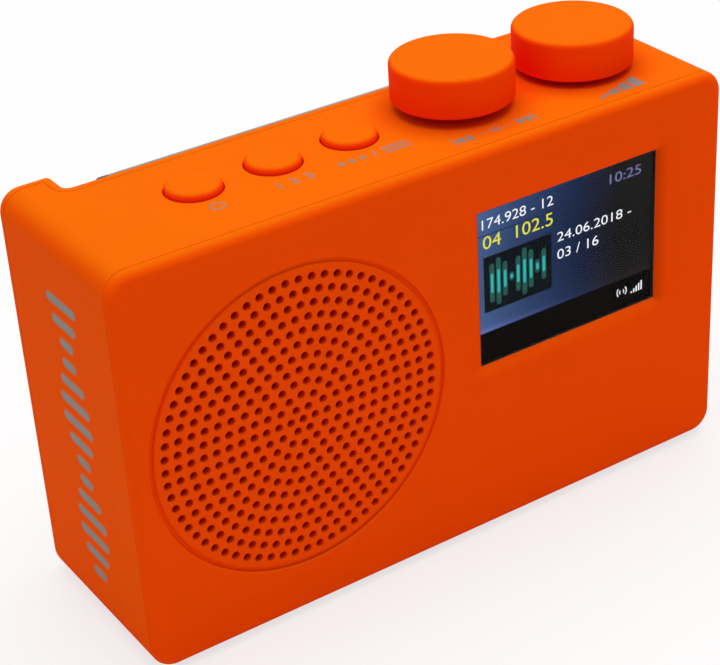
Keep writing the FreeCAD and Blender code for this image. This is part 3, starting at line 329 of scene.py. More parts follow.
def rounded_outline(left, low, right, high, radius):
    """A rectangle with quarter circles for corners, listed from its top right corner round."""
    left, low, right, high = left + radius, low + radius, right - radius, high - radius
    centres = ((right, high), (left, high), (left, low), (right, low))
    quarter = np.radians(np.linspace(0, 90, 7))
    return np.concatenate([
        centre + around(quarter + turn * math.pi / 2) * radius
        for turn, centre in enumerate(centres)
    ])


class Sheet:
    """A flat place on the radio: an origin, and the directions that read as right and up."""

    def __init__(self, origin, right, up):
        self.origin, self.right, self.up = np.array(origin, float), right, up

    def place(self, flat):
        flat = np.asarray(flat, float)
        return self.origin + flat[..., :1] * self.right + flat[..., 1:2] * self.up


class Print:
    """Flat marks gathered into one mesh."""

    def __init__(self):
        self.points, self.faces = [], []

    def polygon(self, outline):
        first = len(self.points)
        self.points.extend(np.asarray(outline, float).tolist())
        self.faces.append(range(first, len(self.points)))

    def ring(self, centre, radius, width, start=0.0, sweep=360.0, steps=48):
        """An arc of a ring, both angles in degrees: centre + r (cos t, sin t)."""
        arc = around(np.radians(np.linspace(start, start + sweep, steps + 1)))
        first = len(self.points)
        for reach in (radius + width / 2, radius - width / 2):
            self.points.extend(np.add(centre, arc * reach).tolist())
        self.faces.extend(grid_faces(2, steps + 1, first, wrap=False)[:, ::-1])

    def disc(self, centre, radius):
        self.polygon(np.add(centre, circle(40) * radius))

    def bar(self, left, low, right, high, radius=0.0):
        radius = min(radius, (right - left) / 2, (high - low) / 2)
        if radius > 0:
            self.polygon(rounded_outline(left, low, right, high, radius))
        else:
            self.polygon([(left, low), (right, low), (right, high), (left, high)])

    def digits(self, text, box):
        """Plain digits, stretched to fill a box given in mm."""
        left, low, right, high = in_metres(box)
        curve = bpy.data.curves.new("digits", "FONT")
        curve.body = text
        holder = bpy.data.objects.new("digits", curve)
        bpy.context.scene.collection.objects.link(holder)
        graph = bpy.context.evaluated_depsgraph_get()
        mesh = bpy.data.meshes.new_from_object(holder.evaluated_get(graph))
        flat = np.zeros(len(mesh.vertices) * 3)
        mesh.vertices.foreach_get("co", flat)
        flat = flat.reshape(-1, 3)[:, :2]
        lowest, size = flat.min(0), np.ptp(flat, axis=0)
        flat = (flat - lowest) / size * (right - left, high - low) + (left, low)
        first = len(self.points)
        self.points.extend(flat.tolist())
        self.faces.extend([index + first for index in face.vertices] for face in mesh.polygons)
        bpy.data.objects.remove(holder)
        bpy.data.curves.remove(curve)
        bpy.data.meshes.remove(mesh)

    def make(self, name, sheet, body, finish):
        piece(name, sheet.place(self.points), self.faces, body, finish, smooth=False)

    def show(self, name, sheet, light, tint):
        self.make(name, sheet, "cabinet", glowing(light, tint))


# ---- finishes ----

def node_of(tree, kind, **inputs):
    item = tree.nodes.new(kind)
    for name, value in inputs.items():
        item.inputs[name.replace("_", " ")].default_value = value
    return item


def surfaced(name, kind="ShaderNodeBsdfPrincipled", **inputs):
    """A new material with one shader of a kind on its surface."""
    finish = bpy.data.materials.new(name)
    finish.use_nodes = True
    tree = finish.node_tree
    tree.nodes.clear()
    shader = node_of(tree, kind, **inputs)
    output = tree.nodes.new("ShaderNodeOutputMaterial")
    tree.links.new(shader.outputs[0], output.inputs["Surface"])
    return finish, tree, shader


def noise(tree, size, detail=2.0, stretch=(1, 1, 1)):
    """Noise on the piece's own coordinates, with features of about one size."""
    place = tree.nodes.new("ShaderNodeTexCoord")
    mapping = node_of(tree, "ShaderNodeMapping", Scale=stretch)
    texture = node_of(tree, "ShaderNodeTexNoise", Scale=1 / size, Detail=detail)
    tree.links.new(place.outputs["Object"], mapping.inputs["Vector"])
    tree.links.new(mapping.outputs["Vector"], texture.inputs["Vector"])
    return texture.outputs["Fac"]


def mixed(tree, factor, first, second, way="MIX"):
    """Mix two colours, each given as numbers or as another node's output."""
    mix = tree.nodes.new("ShaderNodeMix")
    mix.data_type = "RGBA"
    mix.blend_type = way
    if isinstance(factor, float):
        mix.inputs["Factor"].default_value = factor
    else:
        tree.links.new(factor, mix.inputs["Factor"])
    sockets = [socket for socket in mix.inputs if socket.type == "RGBA"]
    for socket, value in zip(sockets, (first, second)):
        if isinstance(value, bpy.types.NodeSocket):
            tree.links.new(value, socket)
        else:
            socket.default_value = (*value, 1)
    return next(socket for socket in mix.outputs if socket.type == "RGBA")


def mottled(tree, patches, tint, amount):
    """A colour that wanders a little either side of itself."""
    darker = [channel * (1 - amount) for channel in tint]
    lighter = [min(1.0, channel * (1 + amount)) for channel in tint]
    return mixed(tree, ranged(tree, patches, 0, 1), darker, lighter)


def mapped(tree, value, ends, low=0.0, high=1.0, curve="LINEAR"):
    """A value that runs from low to high while another runs between two ends."""
    ramp = node_of(tree, "ShaderNodeMapRange", From_Min=ends[0], From_Max=ends[1],
                   To_Min=low, To_Max=high)
    ramp.interpolation_type = curve
    tree.links.new(value, ramp.inputs["Value"])
    return ramp.outputs["Result"]


def ranged(tree, noise_value, low, high):
    """Noise, which stays mostly between 0.3 and 0.7, stretched to run from low to high."""
    return mapped(tree, noise_value, (0.3, 0.7), low, high)


def combined(tree, operation, first, second):
    """Two values combined by an operation; the second may be a plain number."""
    result = tree.nodes.new("ShaderNodeMath")
    result.operation = operation
    tree.links.new(first, result.inputs[0])
    if isinstance(second, bpy.types.NodeSocket):
        tree.links.new(second, result.inputs[1])
    else:
        result.inputs[1].default_value = second
    return result.outputs["Value"]


def axis_of(tree, axis):
    """The piece's own X, Y or Z."""
    place = tree.nodes.new("ShaderNodeTexCoord")
    split = tree.nodes.new("ShaderNodeSeparateXYZ")
    tree.links.new(place.outputs["Object"], split.inputs["Vector"])
    return split.outputs[axis]


def facing(tree, way, ends, curve="LINEAR"):
    """How far the surface points up or to the left: 0 at one stored share, 1 at the other."""
    stored = tree.nodes.new("ShaderNodeAttribute")
    stored.attribute_name = way
    return mapped(tree, stored.outputs["Fac"], ends, curve=curve)


def openness(tree, reach, least, most):
    """How open a place is to what lies within reach: 0 in a tight crease, 1 on a free face."""
    shelter = node_of(tree, "ShaderNodeAmbientOcclusion", Distance=reach)
    shelter.samples = 8
    return mapped(tree, shelter.outputs["AO"], (least, most))


def finish_of(name, tint, roughness, grain, relief, mottle=0.05, patch=30 * MM,
              stretch=(1, 1, 1), rising=None, painted_top_light=None, turned=None, sheltered=None,
              seam=None, inside=None, **sockets):
    """A surface whose colour and roughness wander in slow patches under a fine grain in relief.

    The further tints, where given, are painted light on what leans up and faces up, and painted
    shade where it leans left near the window, under the knobs, in seams and far inside a hole.
    """
    finish, tree, shader = surfaced(name)
    patches = noise(tree, patch, 3.0, stretch)
    hue = mottled(tree, patches, tint, mottle)
    # Painted light where the surface leans up.
    if rising:
        hue = mixed(tree, facing(tree, "upward", PAINTED_RISE_LIGHT_SHARES), hue, rising)
    # Painted light: a yellower tint on what faces up.
    if painted_top_light:
        share = facing(tree, "upward", PAINTED_TOP_LIGHT_SHARES, "SMOOTHSTEP")
        hue = mixed(tree, share, hue, mottled(tree, patches, painted_top_light, mottle))
    # Painted shade on the window's right bevel, where the surface leans left.
    if turned:
        near = mapped(tree, axis_of(tree, "X"), RIGHT_BEVEL)
        share = combined(tree, "MULTIPLY", facing(tree, "leftward", PAINTED_BEVEL_SHADE_SHARES), near)
        hue = mixed(tree, share, hue, turned)
    # Painted shade under the knobs and in creases, from ambient occlusion.
    if sheltered:
        hue = mixed(tree, openness(tree, *KNOB_SHADE), sheltered, hue)
    # Painted shade in fine seams, from ambient occlusion.
    if seam:
        hue = mixed(tree, openness(tree, *SEAM_SHADE), seam, hue)
    # Painted shade: darker towards the far end of a hole, along Y.
    if inside:
        hue = mixed(tree, mapped(tree, axis_of(tree, "Y"), inside[:2]), hue, inside[2])
    tree.links.new(hue, shader.inputs["Base Color"])
    fine = noise(tree, grain, stretch=stretch)
    tree.links.new(ranged(tree, fine, roughness * 0.92, min(1.0, roughness * 1.08)),
                   shader.inputs["Roughness"])
    bump = node_of(tree, "ShaderNodeBump", Strength=0.5, Distance=relief)
    tree.links.new(fine, bump.inputs["Height"])
    tree.links.new(bump.outputs["Normal"], shader.inputs["Normal"])
    for socket, value in sockets.items():
        shader.inputs[socket.replace("_", " ")].default_value = value
    return finish


def soft_paint(name, tint, **places):
    """Rubbery matt paint with painted light: a little yellower on what faces up."""
    case = bpy.context.scene.radio_case
    return finish_of(name, tint, case.roughness, case.grain, 0.004 * MM, mottle=0.012,
                     painted_top_light=case.painted_top_light, Specular_IOR_Level=0.003,
                     Specular_Tint=(1.0, 0.5, 0.3, 1.0), **places)


def metal(name, tint, roughness, stretch=(1, 1, 1)):
    """Metal with fine grain, drawn out along an axis where the stretch is small."""
    return finish_of(name, tint, roughness, 0.4 * MM, 0.002 * MM, mottle=0.04, patch=10 * MM,
                     stretch=stretch, Metallic=1.0)


def chrome(name, dark, light):
    """Bright plating with a painted reflection: half dark at top and bottom, light on its flanks,
    dark at mid height.
    """
    finish, tree, shader = surfaced(name, Metallic=1.0)
    half = [(low + high) / 2 for low, high in zip(dark, light)]
    # Painted reflection: light and dark zones by how far the surface faces up.
    painted_reflection_bands = ramp_of(tree, facing(tree, "upward", (-1.0, 1.0)), (
        (0.0, half), (0.36, light), (0.48, dark), (0.54, dark), (0.66, light), (0.84, half),
        (1.0, half),
    ))
    tree.links.new(painted_reflection_bands, shader.inputs["Base Color"])
    streaks = noise(tree, 0.4 * MM, stretch=(0.02, 1, 1))
    tree.links.new(ranged(tree, streaks, 0.10, 0.16), shader.inputs["Roughness"])
    return finish


def plastic(name, tint, roughness=0.45, grain=0.3 * MM, relief=0.006 * MM):
    return finish_of(name, tint, roughness, grain, relief, mottle=0.08, patch=10 * MM)


def woven(name, dark, light, pitch):
    """Cloth: the product of two sine waves along X and Z raises the threads where they cross."""
    finish, tree, shader = surfaced(name, Roughness=0.9)
    waves = []
    for axis in ("X", "Z"):
        turn = combined(tree, "MULTIPLY", axis_of(tree, axis), 2 * math.pi / pitch)
        waves.append(combined(tree, "SINE", turn, 0.0))
    cross = combined(tree, "MULTIPLY", *waves)
    tree.links.new(mixed(tree, cross, dark, light), shader.inputs["Base Color"])
    bump = node_of(tree, "ShaderNodeBump", Strength=0.6, Distance=pitch / 4)
    tree.links.new(cross, bump.inputs["Height"])
    tree.links.new(bump.outputs["Normal"], shader.inputs["Normal"])
    return finish


def glowing(name, tint):
    """A lit part of the display: its colour shimmers slightly from cell to cell."""
    finish, tree, shader = surfaced(name, "ShaderNodeEmission", Strength=1.0)
    cells = ranged(tree, noise(tree, 0.2 * MM, 1.0), 0, 1)
    dimmer = [channel * 0.92 for channel in tint]
    tree.links.new(mixed(tree, cells, dimmer, tint), shader.inputs["Color"])
    return finish


def dress(finish, *nodes):
    """Give CAD solids that stay as they are a finish."""
    for node in nodes:
        mesh = frame["nodes"][node].data
        mesh.materials.clear()
        mesh.materials.append(finish)


# ---- operators ----

class RadioPart:
    """What every operator of this file shares."""

    bl_options = {"REGISTER", "UNDO"}


class RADIO_OT_case(RadioPart, bpy.types.Operator):
    """Paint the front panel, the case, the rear cover and the battery door"""

    bl_idname = "radio.case"
    bl_label = "Case"

    def execute(self, context):
        case = context.scene.radio_case
        # The shell's paint carries painted shade under the knobs and in seams.
        shell = soft_paint("shell_paint", case.shell, sheltered=case.sheltered, seam=case.seam)
        # The front's paint carries painted light where it leans back, and painted shade on the
        # window's right bevel and in seams.
        front = soft_paint("front_paint", case.front, rising=case.rising, turned=case.turned,
                           seam=case.seam)
        rubber = plastic("foot_rubber", (0.03, 0.03, 0.032), 0.75, 0.5 * MM, 0.02 * MM)
        for node in ("case_shell", "rear_cover", "battery_door"):
            finished(node, shell)
        finished("front_panel", front)
        finished("rubber_feet", rubber)
        return {"FINISHED"}


class RADIO_OT_grille(RadioPart, bpy.types.Operator):
    """Build the grille's plate with its rings of round holes"""

    bl_idname = "radio.grille"
    bl_label = "Grille"

    def execute(self, context):
        """A wall of rings in every hole and one round the edge, joined by flat triangles.

        Each ring of a hole has sides points, each ring of the edge steps points. Front and back
        share their triangles.
        """
        settings = context.scene.radio_grille
        low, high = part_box("speaker_grille")
        middle, depth = (low + high) / 2, high.y - low.y
        sides, steps = 20, 128
        rim = rounding(settings.rim, 1)
        radii = np.append(settings.hole + settings.rim - rim[:, 0], settings.hole)
        depths = np.append(rim[:, 1], depth)
        centres = hole_centres(settings.pitch, settings.rings)
        holes = centres[:, None, None] + radii[None, :, None, None] * circle(sides)
        holes = upright(holes, depths[:, None])
        profile = self.edge_profile(settings, (high.x - low.x) / 2, depth)
        edge = upright(profile[:, :1, None] * circle(steps), profile[:, 1:])
        block = len(radii) * sides
        first = len(centres) * block
        last = first + (len(profile) - 1) * steps
        walls = [grid_faces(len(radii), sides, index * block) for index in range(len(centres))]
        walls.append(grid_faces(len(profile), steps, first)[:, ::-1])
        triangles = flat_triangles(holes[:, 0, :, ::2], edge[0, :, ::2], centres, radii[0])
        starts = (np.arange(len(centres))[:, None] * block + np.arange(sides)).reshape(-1)
        front = np.concatenate((starts, first + np.arange(steps)))
        back = np.concatenate((starts + block - sides, last + np.arange(steps)))
        points = np.concatenate((holes.reshape(-1, 3), edge.reshape(-1, 3)))
        points += (middle.x, low.y, middle.z)
        groups = (*walls, front[triangles], back[triangles][:, ::-1])
        faces = [face for group in groups for face in group]
        paint = soft_paint("grille_paint", context.scene.radio_case.front)
        item = piece("grille_plate", points, faces, "cabinet", paint)
        # Painted shade: the bores' colour darkens from the mouth to the far end of each hole.
        deep = (low.y, low.y + depth, settings.deep)
        item.data.materials.append(soft_paint("bore_paint", settings.bore, inside=deep))
        inside = np.zeros(len(faces), np.int32)
        inside[:len(centres) * (block - sides)].reshape(len(centres), -1)[:, -sides:] = 1
        item.data.polygons.foreach_set("material_index", inside)
        keep_creases(item.data, 50.0)
        weigh_normals(item)
        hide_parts("speaker_grille")
        weave = woven("grille_cloth_weave", (0.012, 0.002, 0.002), (0.05, 0.008, 0.006), 0.6 * MM)
        dress(weave, "grille_cloth")
        return {"FINISHED"}

    def edge_profile(self, settings, flange, depth):
        """Radius and depth from the face's rounded edge through the groove to the flange's back."""
        cloth_low, cloth_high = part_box("grille_cloth")
        raised = (cloth_high.x - cloth_low.x) / 2 + settings.groove_width
        outer = flange - settings.seat
        face = rounding(settings.edge, 4) + (raised - settings.edge, 0)
        return np.concatenate((face, [
            (raised + 0.1 * MM, settings.groove_depth), (outer, settings.groove_depth),
            (outer, settings.lip), (flange, settings.lip), (flange, depth),
        ]))


def hole_centres(pitch, rings):
    """One hole in the middle and 6 n holes on ring n, at radius n times the pitch."""
    circles = [circle(6 * ring) * pitch * ring for ring in range(1, rings + 1)]
    return np.concatenate((np.zeros((1, 2)), *circles))


def flat_triangles(hole_points, rim_points, centres, radius):
    """Triangles of a disc between its rim and its equal holes, as indices into holes then rim."""
    sides = hole_points.shape[1]
    hole_points = hole_points.reshape(-1, 2)
    points = np.concatenate((hole_points, rim_points))
    start = np.arange(len(hole_points))
    after = start - start % sides + (start % sides + 1) % sides
    rim = len(hole_points) + np.arange(len(rim_points))
    edges = np.concatenate((np.stack((start, after), -1), np.stack((rim, np.roll(rim, -1)), -1)))
    scaled = [Vector(point) for point in points / MM]
    result = delaunay_2d_cdt(scaled, edges.tolist(), [], 0, 1e-6)
    if len(result[0]) != len(points):
        raise RuntimeError("the grille's holes touch")
    origin = np.array([source[0] for source in result[3]])
    triangles = origin[np.array(result[2])]
    middles = points[triangles].mean(1)
    nearest = np.hypot(*(middles[:, None] - centres).T).min(0)
    triangles = triangles[nearest > radius]
    a, b, c = (points[triangles[:, i]] for i in range(3))
    clockwise = np.cross(b - a, c - a) < 0
    triangles[clockwise] = triangles[clockwise][:, ::-1]
    return triangles


class RADIO_OT_controls(RadioPart, bpy.types.Operator):
    """Finish the knobs, the buttons and their shafts"""

    bl_idname = "radio.controls"
    bl_label = "Controls"

    def execute(self, context):
        case = context.scene.radio_case
        # The controls' paint carries painted shade in creases and gaps.
        paint = soft_paint("control_paint", case.controls, sheltered=case.sheltered)
        for node in ("knob_select", "knob_volume", "button_power_cap", "button_list_cap",
                     "button_menu_cap"):
            finished(node, paint)
        steel = metal("shaft_steel", (0.60, 0.60, 0.61), 0.28, (1, 1, 0.1))
        dress(steel, "select_shaft", "volume_shaft")
        dress(metal("nut_nickel", (0.66, 0.63, 0.58), 0.3), "encoder_nuts")
        dress(plastic("switch_plastic", (0.02, 0.02, 0.022)), "select_encoder", "volume_encoder",
              "select_rotor", "button_switches", "button_power_plunger", "button_list_plunger",
              "button_menu_plunger")
        return {"FINISHED"}


class RADIO_OT_prints(RadioPart, bpy.types.Operator):
    """Print the plain marks on the top and the striped mark on the left side"""

    bl_idname = "radio.prints"
    bl_label = "Printed marks"

    def execute(self, context):
        settings = context.scene.radio_print
        ink = finish_of("print_ink", settings.ink, 0.45, 0.2 * MM, 0.002 * MM,
                        Specular_IOR_Level=0.1)
        low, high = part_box("case_shell")
        top = Sheet((0, 0, high.z + settings.lift), RIGHT, BACKWARD)
        marks = Print()
        power_mark(marks, *in_metres(POWER_MIDDLE))
        marks.digits("1 2 3", LIST_BOX)
        menu_mark(marks, *in_metres(MENU_ENDS), MENU_LEVEL * MM)
        level = SELECT_LEVEL * MM
        for x, way in zip(in_metres(SKIP_MIDDLES), (-1, 1)):
            skip_mark(marks, x, level, way)
        press_mark(marks, PRESS_MIDDLE * MM, level)
        volume_mark(marks, *in_metres(VOLUME_ENDS), VOLUME_LEVEL * MM)
        marks.make("top_marks", top, "cabinet", ink)
        side = Sheet((low.x - settings.lift * 0.5, SIDE_DEPTH * MM, 0), -BACKWARD, UP)
        stripes = Print()
        wave_mark(stripes, settings.stripes, *in_metres((SIDE_LOW, SIDE_HIGH, SIDE_WIDTH)))
        stripes.make("side_mark", side, "cabinet", ink)
        return {"FINISHED"}


def power_mark(marks, x, y):
    """A ring open at its top with a short upright stroke in the gap."""
    marks.ring((x, y), 1.75 * MM, 0.42 * MM, 122, 296)
    marks.bar(x - 0.21 * MM, y + 0.3 * MM, x + 0.21 * MM, y + 2.3 * MM, 0.2 * MM)


def menu_mark(marks, left, right, y):
    """Three dots, a slanting stroke and a list of three lines."""
    step = (right - left) / 7
    for index in range(3):
        marks.disc((left + step * (index + 0.5), y), 0.85 * MM)
    slash = left + step * 3.6
    marks.polygon([(slash - 0.6 * MM, y - 1.8 * MM), (slash - 0.2 * MM, y - 1.8 * MM),
                   (slash + 1.0 * MM, y + 1.8 * MM), (slash + 0.6 * MM, y + 1.8 * MM)])
    for level in (-1.35, 0.0, 1.35):
        low, high = y + (level - 0.27) * MM, y + (level + 0.27) * MM
        marks.bar(left + step * 4.5, low, right, high, 0.2 * MM)


def skip_mark(marks, x, y, way):
    """Two triangles and a stop bar that point one way."""
    half = 2.0 * MM
    for shift in (-2.5, 0.0):
        tail = x + way * shift * MM
        tip = tail + way * 2.4 * MM
        outline = [(tail, y - half), (tip, y), (tail, y + half)]
        marks.polygon(outline if way > 0 else outline[::-1])
    stop = x + way * 2.65 * MM
    marks.bar(stop - 0.25 * MM, y - half, stop + 0.25 * MM, y + half)


def press_mark(marks, x, y):
    """A dot in a ring between two short bars."""
    marks.disc((x, y), 0.55 * MM)
    marks.ring((x, y), 1.3 * MM, 0.35 * MM)
    for way in (-1, 1):
        ends = sorted((x + way * 2.3 * MM, x + way * 4.2 * MM))
        marks.bar(ends[0], y - 0.2 * MM, ends[1], y + 0.2 * MM, 0.2 * MM)


def volume_mark(marks, left, right, low):
    """A wedge whose height grows evenly to the right, cut into blocks by narrow gaps."""
    cuts = np.linspace(left, right, 5)
    gap = 0.35 * MM

    def height(x):
        return (0.3 + 5.6 * (x - left) / (right - left)) * MM

    for start, end in zip(cuts[:-1] + gap, cuts[1:] - gap):
        tops = [(end, low + height(end)), (start, low + height(start))]
        marks.polygon([(start, low), (end, low), *tops])


def wave_mark(marks, count, low, high, width):
    """Level bars whose lengths rise and fall as |sin|, like the trace of a sound."""
    step = (high - low) / count
    for index in range(count):
        share = 0.25 + 0.75 * abs(math.sin(math.pi * (index + 0.5) / count * 2.5))
        level = low + step * (index + 0.5)
        half = width / 2 * share
        marks.bar(-half, level - step * 0.24, half, level + step * 0.24, step * 0.24)


class RADIO_OT_display(RadioPart, bpy.types.Operator):
    """Light the display: a shaded background, plain digits, level bars and a clear lens"""

    bl_idname = "radio.display"
    bl_label = "Display"

    def execute(self, context):
        settings = context.scene.radio_display
        low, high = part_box("display_lens")
        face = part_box("display_screen")[0].y
        columns, rows = 25, 19
        flat, faces = flat_grid(np.linspace(low.x, high.x, columns),
                                np.linspace(low.z, high.z, rows))
        layers = [Sheet((0, face - LAYER * number, 0), RIGHT, UP) for number in range(1, 5)]
        piece("display_picture", layers[0].place(flat), faces, "cabinet",
              picture_finish(settings, low, high), smooth=False)
        self.draw_rule(low.x, high.x - 10 * MM, layers[1])
        self.draw_lines(settings, layers[1])
        self.draw_art(*layers[1:])
        dress(plastic("screen_backing", (0.01, 0.01, 0.012), 0.3), "display_screen")
        dress(plastic("frame_plastic", (0.02, 0.02, 0.02)), "display_frame")
        dress(lens_finish(), "display_lens")
        self.fit_seal(low, high, face)
        return {"FINISHED"}

    def fit_seal(self, low, high, back):
        """A thin frame round the lens: rounded rectangles inside, in front, outside and behind."""
        near, far = in_metres((0.01, 0.21)), in_metres((0.08, 0.28))
        rings = []
        for (room, radius), depth in ((near, low.y), (far, low.y), (far, back), (near, back)):
            flat = rounded_outline(low.x - room, low.z - room, high.x + room, high.z + room, radius)
            rings.append(upright(flat, depth))
        count = len(rings[0])
        faces = grid_faces(5, count)[:, ::-1] % (4 * count)
        rubber = plastic("seal_rubber", (0.006, 0.006, 0.006), 0.7)
        piece("lens_seal", rings, faces, "cabinet", rubber)

    def draw_lines(self, settings, sheet):
        """The lit digits, five rising bars and a sign of small arcs, each colour a piece."""
        white = Print()
        white.digits(settings.heading, HEADING_BOX)
        white.digits(settings.first_line, FIRST_LINE_BOX)
        white.digits(settings.second_line, SECOND_LINE_BOX)
        left, low = in_metres(BARS_CORNER)
        for index in range(5):
            x = left + index * 0.85 * MM
            white.bar(x, low, x + 0.5 * MM, low + (0.6 + index * 0.55) * MM)
        for way in (-1, 1):
            for reach in (0.7, 1.6):
                white.ring(in_metres(SIGN_MIDDLE), reach * MM, 0.35 * MM, 45 - way * 90, 90, 10)
        white.show("display_white_lines", sheet, "lit_white", (0.92, 0.95, 1.0))
        yellow = Print()
        yellow.digits(settings.channel, CHANNEL_BOX)
        yellow.show("display_yellow_line", sheet, "lit_yellow", (0.80, 0.78, 0.05))
        clock = Print()
        clock.digits(settings.clock, CLOCK_BOX)
        clock.show("display_clock", sheet, "lit_lavender", (0.20, 0.20, 0.45))

    def draw_rule(self, left, right, sheet):
        """A thin dark line under the heading."""
        low, high = in_metres(RULE_LEVELS)
        rule = Print()
        rule.bar(left, low, right, high)
        rule.show("display_rule", sheet, "lit_dim", (0.012, 0.022, 0.055))

    def draw_art(self, lowest, middle, highest):
        """Level bars with bright cores on a dark field, a layer each: reach = 1.2 + 5.6 |sin t|."""
        left, bottom, right, top = in_metres(ART_BOX)
        field, dim, bright = Print(), Print(), Print()
        field.bar(left, bottom, right, top)
        count, margin = 9, 1.5 * MM
        step = (right - left - 2 * margin) / count
        level = (bottom + top) / 2
        for index in range(count):
            x = left + margin + step * (index + 0.5)
            reach = (1.2 + 5.6 * abs(math.sin(0.9 + index * 0.75))) * MM
            for bars, half, tall in ((dim, step * 0.36, reach), (bright, step * 0.2, reach * 0.5)):
                bars.bar(x - half, level - tall, x + half, level + tall, half)
        field.show("display_art_field", lowest, "lit_black", (0.004, 0.006, 0.008))
        dim.show("display_art_bars", middle, "lit_deep_green", (0.02, 0.10, 0.085))
        bright.show("display_art_cores", highest, "lit_teal", (0.03, 0.48, 0.45))


def picture_finish(settings, low, high):
    """The picture's background: a ramp along X, a brighter line and a dark band near its foot."""
    finish, tree, shader = surfaced("lit_background", "ShaderNodeEmission", Strength=1.0)
    across = ramp_of(tree, mapped(tree, axis_of(tree, "X"), (low.x, high.x)), (
        (0.0, settings.bright), (0.2, np.add(settings.bright, settings.middle) * 0.42),
        (0.42, settings.middle), (0.57, (0.008, 0.0176, 0.053)), (0.68, (0.011, 0.013, 0.027)),
        (0.8, settings.dark), (1.0, settings.dark),
    ))
    upwards = ramp_of(tree, mapped(tree, axis_of(tree, "Z"), (low.z, high.z)), (
        (0.0, (0.0, 0.0, 0.0)), (0.194, (0.0, 0.0, 0.0)), (0.197, (2.3, 1.6, 1.8)),
        (0.235, (1.05, 1.05, 1.05)), (0.45, (0.85, 0.85, 0.85)), (0.75, (0.9, 0.9, 0.9)),
        (1.0, (1.1, 1.1, 1.1)),
    ))
    shaded = mixed(tree, 1.0, across, upwards, "MULTIPLY")
    glow = mixed(tree, 1.0, shaded, (0.0012, 0.0006, 0.0004), "ADD")
    tree.links.new(glow, shader.inputs["Color"])
    return finish


def ramp_of(tree, factor, stops):
    ramp = tree.nodes.new("ShaderNodeValToRGB")
    elements = ramp.color_ramp.elements
    while len(elements) < len(stops):
        elements.new(1.0)
    for element, (position, tint) in zip(elements, stops):
        element.position = position
        element.color = (*tint, 1)
    tree.links.new(factor, ramp.inputs["Fac"])
    return ramp.outputs["Color"]


def lens_finish():
    """Clear hard lens with a faint, fine haze in its gloss."""
    finish, tree, shader = surfaced(
        "clear_lens", IOR=1.08, Transmission_Weight=1.0, Base_Color=(0.97, 0.98, 1.0, 1)
    )
    tree.links.new(ranged(tree, noise(tree, 10 * MM), 0.0, 0.03), shader.inputs["Roughness"])
    return finish


class RADIO_OT_antenna(RadioPart, bpy.types.Operator):
    """Finish the telescopic antenna and its swivel"""

    bl_idname = "radio.antenna"
    bl_label = "Antenna"

    def execute(self, context):
        # The antenna's chrome carries a painted reflection.
        plating = chrome("antenna_chrome_painted_reflection", (0.07, 0.063, 0.05), (0.50, 0.455, 0.39))
        for number in range(1, 5):
            finished("antenna_section_%d" % number, plating)
        cap = plastic("antenna_cap_plastic", (0.02, 0.02, 0.022), 0.35)
        finished("antenna_tip", cap)
        finished("antenna_turret", cap)
        dress(metal("hinge_steel", (0.55, 0.55, 0.56), 0.3), "antenna_pin", "antenna_retainer")
        return {"FINISHED"}


class RADIO_OT_insides(RadioPart, bpy.types.Operator):
    """Finish the loudspeaker, the boards, the cells, the sockets and the screws"""

    bl_idname = "radio.insides"
    bl_label = "Insides"

    def execute(self, context):
        steel = metal("pressed_steel", (0.50, 0.50, 0.52), 0.35)
        nickel = metal("contact_nickel", (0.66, 0.63, 0.58), 0.25)
        lacquer = finish_of("board_lacquer", (0.01, 0.09, 0.03), 0.35, 0.6 * MM, 0.02 * MM,
                            mottle=0.3, patch=4 * MM)
        paper = finish_of("cone_paper", (0.03, 0.03, 0.03), 0.9, 0.4 * MM, 0.03 * MM,
                          mottle=0.2, patch=3 * MM)
        foam = finish_of("foam", (0.02, 0.02, 0.02), 0.95, 0.5 * MM, 0.1 * MM,
                         mottle=0.2, patch=2 * MM)
        groups = (
            (steel, "speaker_frame", "tuner_shield"),
            (nickel, "board_spacers", "battery_contacts"),
            (lacquer, "display_board", "main_board", "control_board", "jack_board"),
            (paper, "speaker_cone", "speaker_dust_cap"),
            (foam, "speaker_gasket"),
            (plastic("ferrite", (0.03, 0.03, 0.032), 0.6), "speaker_magnet"),
            (cell_finish(), "battery_cells"),
        )
        for finish, *nodes in groups:
            dress(finish, *nodes)
        dark = plastic("socket_plastic", (0.015, 0.015, 0.016), 0.3)
        for node in ("dc_jack", "headphone_jack"):
            finished(node, dark)
        drive_screws(steel)
        return {"FINISHED"}


